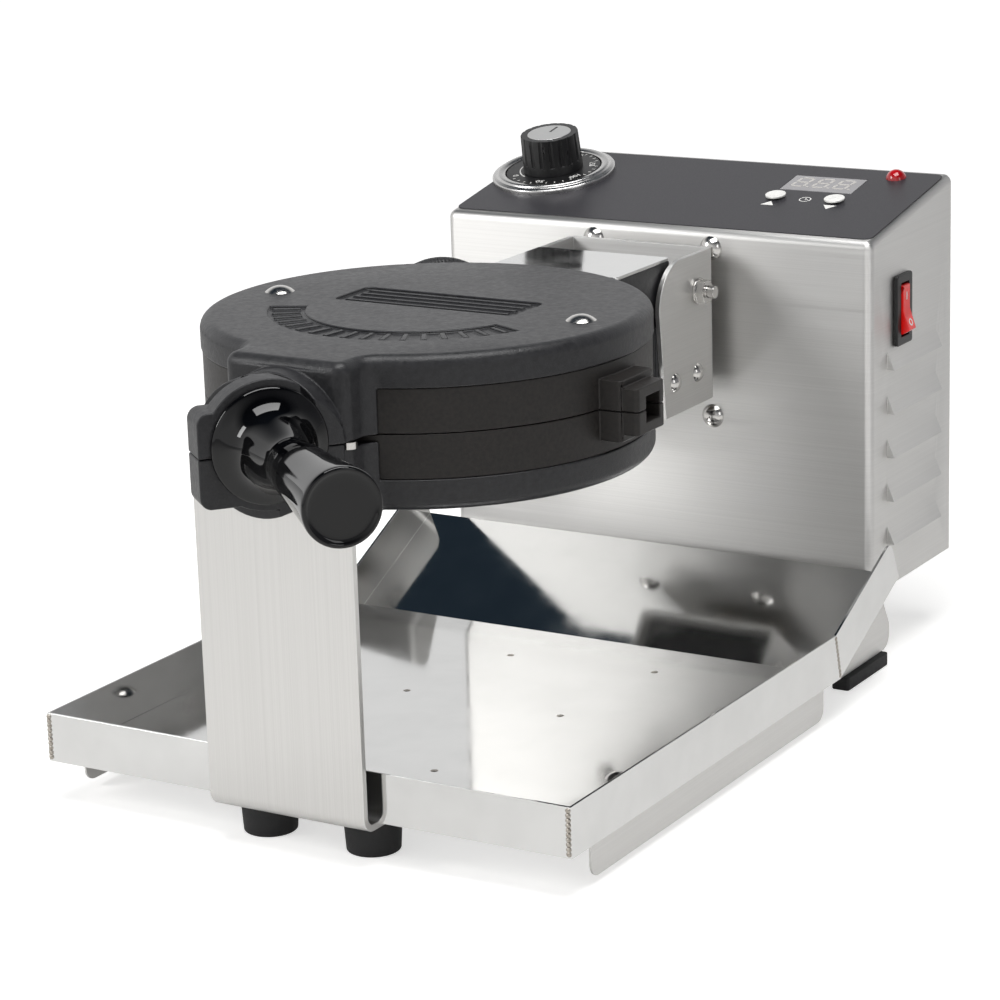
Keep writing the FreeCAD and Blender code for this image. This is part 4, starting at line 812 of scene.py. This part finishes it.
@dataclass
class ThermostatDial:
    """Stepped ring, numbered skirt and fluted knob with its bright cap."""

    shop: Workshop
    panel: Panel
    numbers: tuple[int, ...] = (0, 50, 100, 150, 200, 250)
    number_mm: float = 3.1
    number_radius_mm: float = 19.6
    first_angle: float = math.radians(-225.0)
    sweep: float = math.radians(270.0)
    ticks_between: int = 5
    tick_half_mm: float = 0.2
    tick_mm: tuple[float, float] = (21.4, 23.0)
    arc_mm: tuple[float, float] = (16.6, 17.2)
    arc_sweep: float = math.radians(80.0)
    arc_turn: float = math.radians(200.0)
    arc_steps: int = 40
    pointer_half_mm: float = 0.55
    pointer_mm: tuple[float, float] = (1.0, 8.6)
    knob_edge_mm: float = 0.25
    cap_edge_mm: float = 0.2
    ring_mm: tuple[tuple[float, float], ...] = (
        (24.4, 0.5), (24.4, 3.3), (24.6, 3.9), (25.2, 4.2), (26.0, 4.4), (27.2, 4.5), (28.0, 4.4),
        (28.5, 4.0), (28.7, 3.4), (29.0, 3.1), (30.2, 3.0), (30.8, 2.8), (31.1, 2.4), (31.2, 1.9),
        (31.2, 0.5))
    ring_steps: int = 128
    ring_crease: float = math.radians(60.0)

    def build(self) -> None:
        """Dress the dial and print its numbers."""
        self.turn_ring()
        self.shop.dress("dial_skirt", BLACK_PLASTIC)
        self.shop.dress("knob", BLACK_PLASTIC, self.knob_edge_mm)
        self.shop.dress("knob_cap", SPUN_CAP, self.cap_edge_mm)
        self.shop.paint("knob_stem", TURNED_STEEL)
        self.print_skirt()
        self.print_cap()

    def turn_ring(self) -> None:
        """Spin the stepped ring around the dial, with its rounded steps."""
        outline = [Vector((mm(radius), 0.0, mm(height))) for radius, height in self.ring_mm]
        mesh = turned(outline, True, Vector(), Vector((0.0, 0.0, 1.0)), self.ring_steps)
        bmesh.ops.transform(mesh, matrix=self.panel.axes(), verts=mesh.verts)
        ring = self.shop.piece("dial_ring_turned", mesh, TURNED_RING, "base",
                               self.shop.slot_of("dial_bezel"), self.ring_crease)
        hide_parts("dial_bezel")

    def print_skirt(self) -> None:
        """Numbers and ticks around the skirt, with an arc inside them."""
        face = Vector((0.0, 0.0, self.panel.span("dial_skirt")[1].z))
        marks = bmesh.new()
        step = self.sweep / (len(self.numbers) - 1)
        for n, number in enumerate(self.numbers):
            angle = self.first_angle + n * step
            place = Vector((-math.sin(angle), math.cos(angle), 0.0)) * mm(self.number_radius_mm)
            figure = lettering(str(number), self.number_mm)
            self.panel.lay(figure, place + face, angle)
            gather(marks, figure)
        for n in range((len(self.numbers) - 1) * self.ticks_between):
            if n % self.ticks_between:
                tick = bmesh.new()
                rectangle(tick, (-self.tick_half_mm, self.tick_half_mm), self.tick_mm)
                self.panel.lay(tick, face, self.first_angle + step * n / self.ticks_between)
                gather(marks, tick)
        arc = bmesh.new()
        ring_face(arc, *self.arc_mm, -self.arc_sweep / 2, self.arc_sweep, self.arc_steps)
        self.panel.lay(arc, face, self.arc_turn)
        gather(marks, arc)
        self.shop.piece("dial_numbers", marks, WHITE_INK, "dial", "white_plastic")

    def print_cap(self) -> None:
        """A dark pointer line across the cap."""
        height = self.panel.span("knob_cap")[1].z
        line = bmesh.new()
        rectangle(line, (-self.pointer_half_mm, self.pointer_half_mm), self.pointer_mm)
        self.panel.lay(line, Vector((0.0, 0.0, height)))
        self.shop.piece("knob_pointer", line, BLACK_PLASTIC, "dial", "black_plastic")


@dataclass
class TurningIron:
    """Cast covers and plates with their yoke, bolt, screws, lead and polished arm plate."""

    shop: Workshop
    cover_edge_mm: float = 0.7
    plate_edge_mm: float = 0.6
    steel_edge_mm: float = 0.3
    arm_edge_mm: float = 0.25
    rubber_edge_mm: float = 0.5

    def build(self) -> None:
        """Dress the castings and the steel that carries them."""
        for node in ("upper_cover", "lower_cover"):
            self.shop.dress(node, CAST_COVER, self.cover_edge_mm)
        for node in ("upper_grid", "lower_grid"):
            self.shop.dress(node, CAST_PLATE, self.plate_edge_mm)
        self.shop.dress("yoke", SHEET_ACROSS, self.steel_edge_mm)
        self.shop.dress("arm_plate", SHEET_POLISHED, self.arm_edge_mm)
        self.shop.dress("hinge_bolt", HARDWARE, self.steel_edge_mm)
        for node in ("yoke_screws", "upper_cover_screws", "lower_cover_screws", "bumper_stud"):
            self.shop.dress(node, HARDWARE)
        self.shop.dress("heater_lead", SLEEVE)
        self.shop.dress("lead_grommets", RUBBER, self.rubber_edge_mm)
        self.shop.dress("spindle", TURNED_STEEL, self.steel_edge_mm)


@dataclass
class TurnedHandle:
    """Glossy turned handle: trumpet flange, narrow neck, flared grip with a softly rounded end."""

    shop: Workshop
    angle: float = math.radians(50.0)
    hub_reach_mm: float = 328.9
    start_mm: float = 11.5
    rise_mm: float = 3.0
    profile_mm: tuple[tuple[float, float], ...] = (
        (0.0, 0.0), (0.0, 23.4), (0.4, 24.1), (1.5, 24.2), (2.3, 23.6), (3.2, 21.4), (5.0, 18.2),
        (8.5, 15.2), (13.0, 13.9), (18.2, 12.7), (25.5, 11.2), (31.0, 10.3), (34.5, 10.3), (39.0, 11.0),
        (45.0, 11.8), (60.0, 12.7), (76.5, 13.7), (90.0, 14.9), (98.0, 15.6), (100.6, 15.8), (101.6, 15.6),
        (102.0, 15.0), (102.0, 14.2), (101.6, 13.6), (101.2, 12.8), (101.1, 11.0), (101.1, 0.0))
    steps: int = 72
    polish_levels: int = 2

    def build(self) -> None:
        """Spin the handle's outline about its slanting axis."""
        way = Vector((math.sin(self.angle), -math.cos(self.angle), 0.0))
        face_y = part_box("housing_shell")[0].y
        height = self.shop.joint("iron_turn")["pos_m"][2]
        hub = Vector((0.0, face_y - mm(self.hub_reach_mm), height + mm(self.rise_mm)))
        base = hub + way * mm(self.start_mm)
        outline = [base + way * mm(along) + Vector((0.0, 0.0, mm(radius)))
                   for along, radius in self.profile_mm]
        mesh = turned(outline, False, base, way, self.steps)
        grip = self.shop.piece("handle_turned", mesh, PHENOLIC, "lid", "black_bakelite")
        smooth = grip.modifiers.new("polish", "SUBSURF")
        smooth.levels = self.polish_levels
        smooth.render_levels = self.polish_levels
        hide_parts("handle")


@dataclass
class StandingFrame:
    """Front post with its spine, cross plate, legs and rubber feet."""

    shop: Workshop
    bent_edge_mm: float = 0.35
    plate_edge_mm: float = 0.3
    rubber_edge_mm: float = 0.6

    def build(self) -> None:
        """Dress the frame and its feet."""
        self.shop.dress("front_post", SHEET_UPRIGHT, self.bent_edge_mm)
        self.shop.dress("cross_plate", SHEET_ACROSS, self.plate_edge_mm)
        self.shop.dress("leg_brackets", SHEET_ACROSS, self.bent_edge_mm)
        for node in ("leg_pads", "front_feet"):
            self.shop.dress(node, RUBBER, self.rubber_edge_mm)


@dataclass
class DripTray:
    """Mirror-polished folded tray with welded corners, spot welds and skirts."""

    shop: Workshop
    sheet_mm: float = 1.2
    sheet_edge_mm: float = 0.2
    sheet_crease: float = math.radians(15.0)
    bead_mm: float = 1.3
    bead_pitch_mm: float = 2.1
    bead_fineness: int = 2
    corner_start_mm: float = 1.0
    bead_inset_mm: float = 0.6
    corner_squash: tuple[float, float, float] = (1.0, 0.6, 0.9)
    fold_squash: tuple[float, float, float] = (0.25, 0.9, 0.9)
    spot_radius_mm: float = 1.7
    spot_taper: float = 0.7
    spot_height_mm: float = 0.16
    spot_steps: int = 28
    spots_mm: tuple[tuple[float, float], ...] = (
        (-38.6, -171.0), (29.0, -256.0), (-22.0, -106.0), (42.0, -171.0), (51.0, -99.0))
    fold_mm: tuple[float, float] = (67.4, 72.4)
    wall_mm: float = 22.0

    def build(self) -> None:
        """Dress the tray and weld its corners."""
        self.shop.dress("drip_tray", SHEET_POLISHED, self.sheet_edge_mm, self.sheet_crease)
        self.shop.dress("tray_skirts", SHEET_ACROSS, self.sheet_edge_mm)
        self.shop.dress("tray_screws", HARDWARE)
        self.weld_corners()
        self.spot_welds()

    def bead(self, mesh: bmesh.types.BMesh, start: Vector, end: Vector,
             squash: tuple[float, float, float]) -> None:
        """A row of overlapping weld ripples.

        Args:
            mesh: The bmesh that gets the ripples.
            start: First end of the row.
            end: Other end of the row.
            squash: How far each ripple stands out along X, Y and Z, as a share of its radius.
        """
        count = max(2, round((end - start).length / mm(self.bead_pitch_mm)))
        for n in range(count):
            made = bmesh.ops.create_icosphere(mesh, subdivisions=self.bead_fineness,
                                              radius=mm(self.bead_mm))
            place = Matrix.Translation(start.lerp(end, (n + 0.5) / count))
            flatten = Matrix.Diagonal((*squash, 1.0))
            bmesh.ops.transform(mesh, matrix=place @ flatten, verts=made["verts"])

    def weld_corners(self) -> None:
        """Upright beads at the front corners and slanting beads where the side walls fold up."""
        low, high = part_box("drip_tray")
        face_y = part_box("housing_shell")[0].y
        foot = low.z + mm(self.bead_inset_mm)
        top = low.z + mm(self.wall_mm) - mm(self.bead_inset_mm)
        fold_foot, fold_top = [face_y - mm(away) for away in self.fold_mm]
        mesh = bmesh.new()
        for side, edge in ((1.0, high.x), (-1.0, low.x)):
            x = edge - side * mm(self.bead_mm)
            self.bead(mesh, Vector((x, low.y, low.z + mm(self.corner_start_mm))), Vector((x, low.y, top)),
                      self.corner_squash)
            self.bead(mesh, Vector((edge, fold_foot, foot)), Vector((edge, fold_top, top)),
                      self.fold_squash)
        self.shop.piece("tray_welds", mesh, WELD, "tray", "polished_stainless")

    def spot_welds(self) -> None:
        """Shallow round marks on the tray's floor."""
        face_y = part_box("housing_shell")[0].y
        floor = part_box("tray_skirts")[1].z + mm(self.sheet_mm)
        middle = floor + mm(self.spot_height_mm / 2)
        mesh = bmesh.new()
        for x, y in self.spots_mm:
            made = bmesh.ops.create_cone(mesh, cap_ends=True, segments=self.spot_steps,
                                         radius1=mm(self.spot_radius_mm), depth=mm(self.spot_height_mm),
                                         radius2=mm(self.spot_radius_mm * self.spot_taper))
            bmesh.ops.translate(mesh, verts=made["verts"], vec=(mm(x), face_y + mm(y), middle))
        self.shop.piece("tray_spot_welds", mesh, WELD, "tray", "polished_stainless")


@dataclass
class InnerWorks:
    """Pieces inside the housing and the castings, which show only when it is taken apart."""

    shop: Workshop
    finishes: dict[str, Finish] = field(default_factory=lambda: {
        "thermostat_body": BLACK_PLASTIC, "timer_board": BOARD, "bearing_plate": TURNED_STEEL,
        "spindle_bush": BRONZE, "terminal_block": BLACK_PLASTIC, "stop_blocks": TURNED_STEEL,
        "spindle_collar": TURNED_STEEL, "stop_arm": TURNED_STEEL, "lower_heater": HEATER_SHEATH,
        "upper_heater": HEATER_SHEATH, "handle_stud": TURNED_STEEL})

    def build(self) -> None:
        """Paint the inner nodes as they are."""
        for node, finish in self.finishes.items():
            self.shop.paint(node, finish)


@dataclass
class Studio:
    """Pale floor, soft lamps, white surroundings and the camera."""

    floor_m: float = 14.0
    floor_tone: str = "#ecebe9"
    floor_lift: tuple[float, float] = (0.56, 0.95)
    floor_reach_m: tuple[float, float] = (0.5, 2.2)
    floor_mirrored: float = 0.4
    world_light: float = 0.42
    world_mirrored: float = 0.95
    # Each lamp's name, place and size in metres, and power in watts.
    lamps: tuple[tuple[str, tuple[float, float, float], tuple[float, float], float], ...] = (
        ("key_softbox", (-1.15, -1.25, 1.1), (0.55, 0.75), 13.0),
        ("side_softbox", (1.9, -0.7, 0.8), (0.5, 0.9), 3.0),
        ("top_softbox", (0.25, -0.2, 1.5), (1.1, 0.8), 20.0))
    shade_way: tuple[float, float, float] = (0.86, 0.0, 0.5)
    shade_ends: tuple[float, float] = (0.25, 0.9)
    shade_tone: str = "#8d8e92"
    ceiling_way: tuple[float, float, float] = (0.0, 0.0, 1.0)
    ceiling_ends: tuple[float, float] = (0.45, 0.72)
    ceiling_tone: str = "#25303a"
    aim: tuple[float, float, float] = (0.0, -0.03, 0.14)
    camera_mm: tuple[float, float, float] = (741.89, -1369.07, 502.13)
    yaw: float = math.radians(31.27)
    pitch: float = math.radians(15.38)
    roll: float = math.radians(-1.81)
    lens_mm: float = 118.62
    sensor_mm: float = 36.0

    def build(self) -> None:
        """Set the floor, the lamps, the surroundings and the camera."""
        bpy.context.scene.view_settings.view_transform = "Standard"
        self.lay_floor()
        self.light_world()
        for name, place, size, power in self.lamps:
            self.hang_lamp(name, Vector(place), size, power)
        self.set_camera()

    def seen(self, tree: bpy.types.NodeTree, looked_at: float, mirrored: float,
             lighting: float) -> bpy.types.NodeSocket:
        """A strength for each kind of ray.

        Args:
            tree: The nodes that use it.
            looked_at: Strength for rays straight from the camera.
            mirrored: Strength for rays by way of metal or glass.
            lighting: Strength for all other rays.

        Returns:
            The strength.
        """
        path = add_node(tree, "ShaderNodeLightPath")
        through = add_node(tree, "ShaderNodeMath", {"operation": "MAXIMUM"},
                           {0: path.outputs["Is Glossy Ray"], 1: path.outputs["Is Transmission Ray"]})
        mirror = add_node(tree, "ShaderNodeMapRange", {"To Min": lighting, "To Max": mirrored},
                          {"Value": through.outputs["Value"]})
        look = add_node(tree, "ShaderNodeMapRange", {"To Max": looked_at},
                        {"Value": path.outputs["Is Camera Ray"], "To Min": mirror.outputs["Result"]})
        return look.outputs["Result"]

    def lay_floor(self) -> None:
        """A wide pale floor that keeps the shadow and goes to white where it is seen."""
        mesh = bmesh.new()
        bmesh.ops.create_grid(mesh, x_segments=2, y_segments=2, size=self.floor_m / 2)
        data = bpy.data.meshes.new("studio_floor")
        mesh.to_mesh(data)
        mesh.free()
        floor = bpy.data.objects.new("studio_floor", data)
        bpy.context.scene.collection.objects.link(floor)
        material = bpy.data.materials.new("painted_floor_white")
        material.use_nodes = True
        tree = material.node_tree
        tree.nodes.clear()
        paint = add_node(tree, "ShaderNodeBsdfDiffuse", {"Color": linear(self.floor_tone)})
        place = add_node(tree, "ShaderNodeTexCoord")
        reach = add_node(tree, "ShaderNodeVectorMath", {"operation": "LENGTH"},
                         {0: place.outputs["Object"]})
        fade = add_node(tree, "ShaderNodeMapRange",
                        {"From Min": self.floor_reach_m[0], "From Max": self.floor_reach_m[1],
                         "To Min": self.floor_lift[0], "To Max": self.floor_lift[1]},
                        {"Value": reach.outputs["Value"]})
        lift = add_node(tree, "ShaderNodeMath", {"operation": "MULTIPLY"},
                        {0: fade.outputs["Result"], 1: self.seen(tree, 1.0, self.floor_mirrored, 0.0)})
        glow = add_node(tree, "ShaderNodeEmission", {}, {"Strength": lift.outputs["Value"]})
        both = add_node(tree, "ShaderNodeAddShader", {},
                        {0: paint.outputs["BSDF"], 1: glow.outputs["Emission"]})
        add_node(tree, "ShaderNodeOutputMaterial", {}, {"Surface": both.outputs["Shader"]})
        data.materials.append(material)

    def light_world(self) -> None:
        """White where it is seen, shaded on one side and above where it is mirrored, soft as a light."""
        world = bpy.data.worlds.new("white_surroundings")
        bpy.context.scene.world = world
        world.use_nodes = True
        tree = world.node_tree
        tree.nodes.clear()
        place = add_node(tree, "ShaderNodeTexCoord")
        tones = []
        for way, ends, tone in ((self.shade_way, self.shade_ends, self.shade_tone),
                                (self.ceiling_way, self.ceiling_ends, self.ceiling_tone)):
            along = add_node(tree, "ShaderNodeVectorMath", {"operation": "DOT_PRODUCT", 1: way},
                             {0: place.outputs["Generated"]})
            ramp = add_node(tree, "ShaderNodeValToRGB", {}, {"Fac": along.outputs["Value"]})
            ramp.color_ramp.elements[0].position = ends[0]
            ramp.color_ramp.elements[0].color = linear(WHITE)
            ramp.color_ramp.elements[1].position = ends[1]
            ramp.color_ramp.elements[1].color = linear(tone)
            tones.append(ramp.outputs["Color"])
        # A mix of colours takes them at its sockets 6 and 7 and gives the result at 2.
        room = add_node(tree, "ShaderNodeMix", {"data_type": "RGBA", "blend_type": "MULTIPLY", 0: 1.0},
                        {6: tones[0], 7: tones[1]})
        path = add_node(tree, "ShaderNodeLightPath")
        shown = add_node(tree, "ShaderNodeMix", {"data_type": "RGBA", 7: linear(WHITE)},
                         {0: path.outputs["Is Camera Ray"], 6: room.outputs[2]})
        strength = self.seen(tree, 1.0, self.world_mirrored, self.world_light)
        back = add_node(tree, "ShaderNodeBackground", {},
                        {"Color": shown.outputs[2], "Strength": strength})
        add_node(tree, "ShaderNodeOutputWorld", {}, {"Surface": back.outputs["Background"]})

    def hang_lamp(self, name: str, place: Vector, size: tuple[float, float], power: float) -> None:
        """A soft box that faces the object.

        Args:
            name: The lamp's name.
            place: Where it hangs, in metres.
            size: Its width and height.
            power: Its strength in watts.
        """
        data = bpy.data.lights.new(name, "AREA")
        data.shape = "RECTANGLE"
        data.size, data.size_y = size
        data.energy = power
        lamp = bpy.data.objects.new(name, data)
        lamp.location = place
        lamp.rotation_euler = (Vector(self.aim) - place).to_track_quat("-Z", "Y").to_euler()
        bpy.context.scene.collection.objects.link(lamp)

    def set_camera(self) -> None:
        """The photograph's viewpoint, measured from the middle of the housing's front face."""
        face_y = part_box("housing_shell")[0].y
        level = math.cos(self.pitch)
        ahead = Vector((-math.sin(self.yaw) * level, math.cos(self.yaw) * level, -math.sin(self.pitch)))
        right = Vector((math.cos(self.yaw), math.sin(self.yaw), 0.0))
        above = right.cross(ahead)
        tilted = right * math.cos(self.roll) + above * math.sin(self.roll)
        upward = above * math.cos(self.roll) - right * math.sin(self.roll)
        data = bpy.data.cameras.new("photo_camera")
        data.lens = self.lens_mm
        data.sensor_width = self.sensor_mm
        camera = bpy.data.objects.new("photo_camera", data)
        turn = Matrix((tilted, upward, -ahead)).transposed().to_4x4()
        place = Vector([mm(value) for value in self.camera_mm]) + Vector((0.0, face_y, 0.0))
        camera.matrix_world = Matrix.Translation(place) @ turn
        bpy.context.scene.collection.objects.link(camera)
        bpy.context.scene.camera = camera


def main() -> None:
    """Build every sub-assembly in order."""
    logging.basicConfig(level=logging.INFO, format="%(message)s")
    shop = Workshop()
    panel = Panel(shop)
    assemblies = [Studio(), ControlHousing(shop, panel), ThermostatDial(shop, panel), TurningIron(shop),
                  TurnedHandle(shop), StandingFrame(shop), DripTray(shop), InnerWorks(shop)]
    for assembly in assemblies:
        log.info("building %s", type(assembly).__name__)
        assembly.build()


if __name__ == "__main__":
    main()
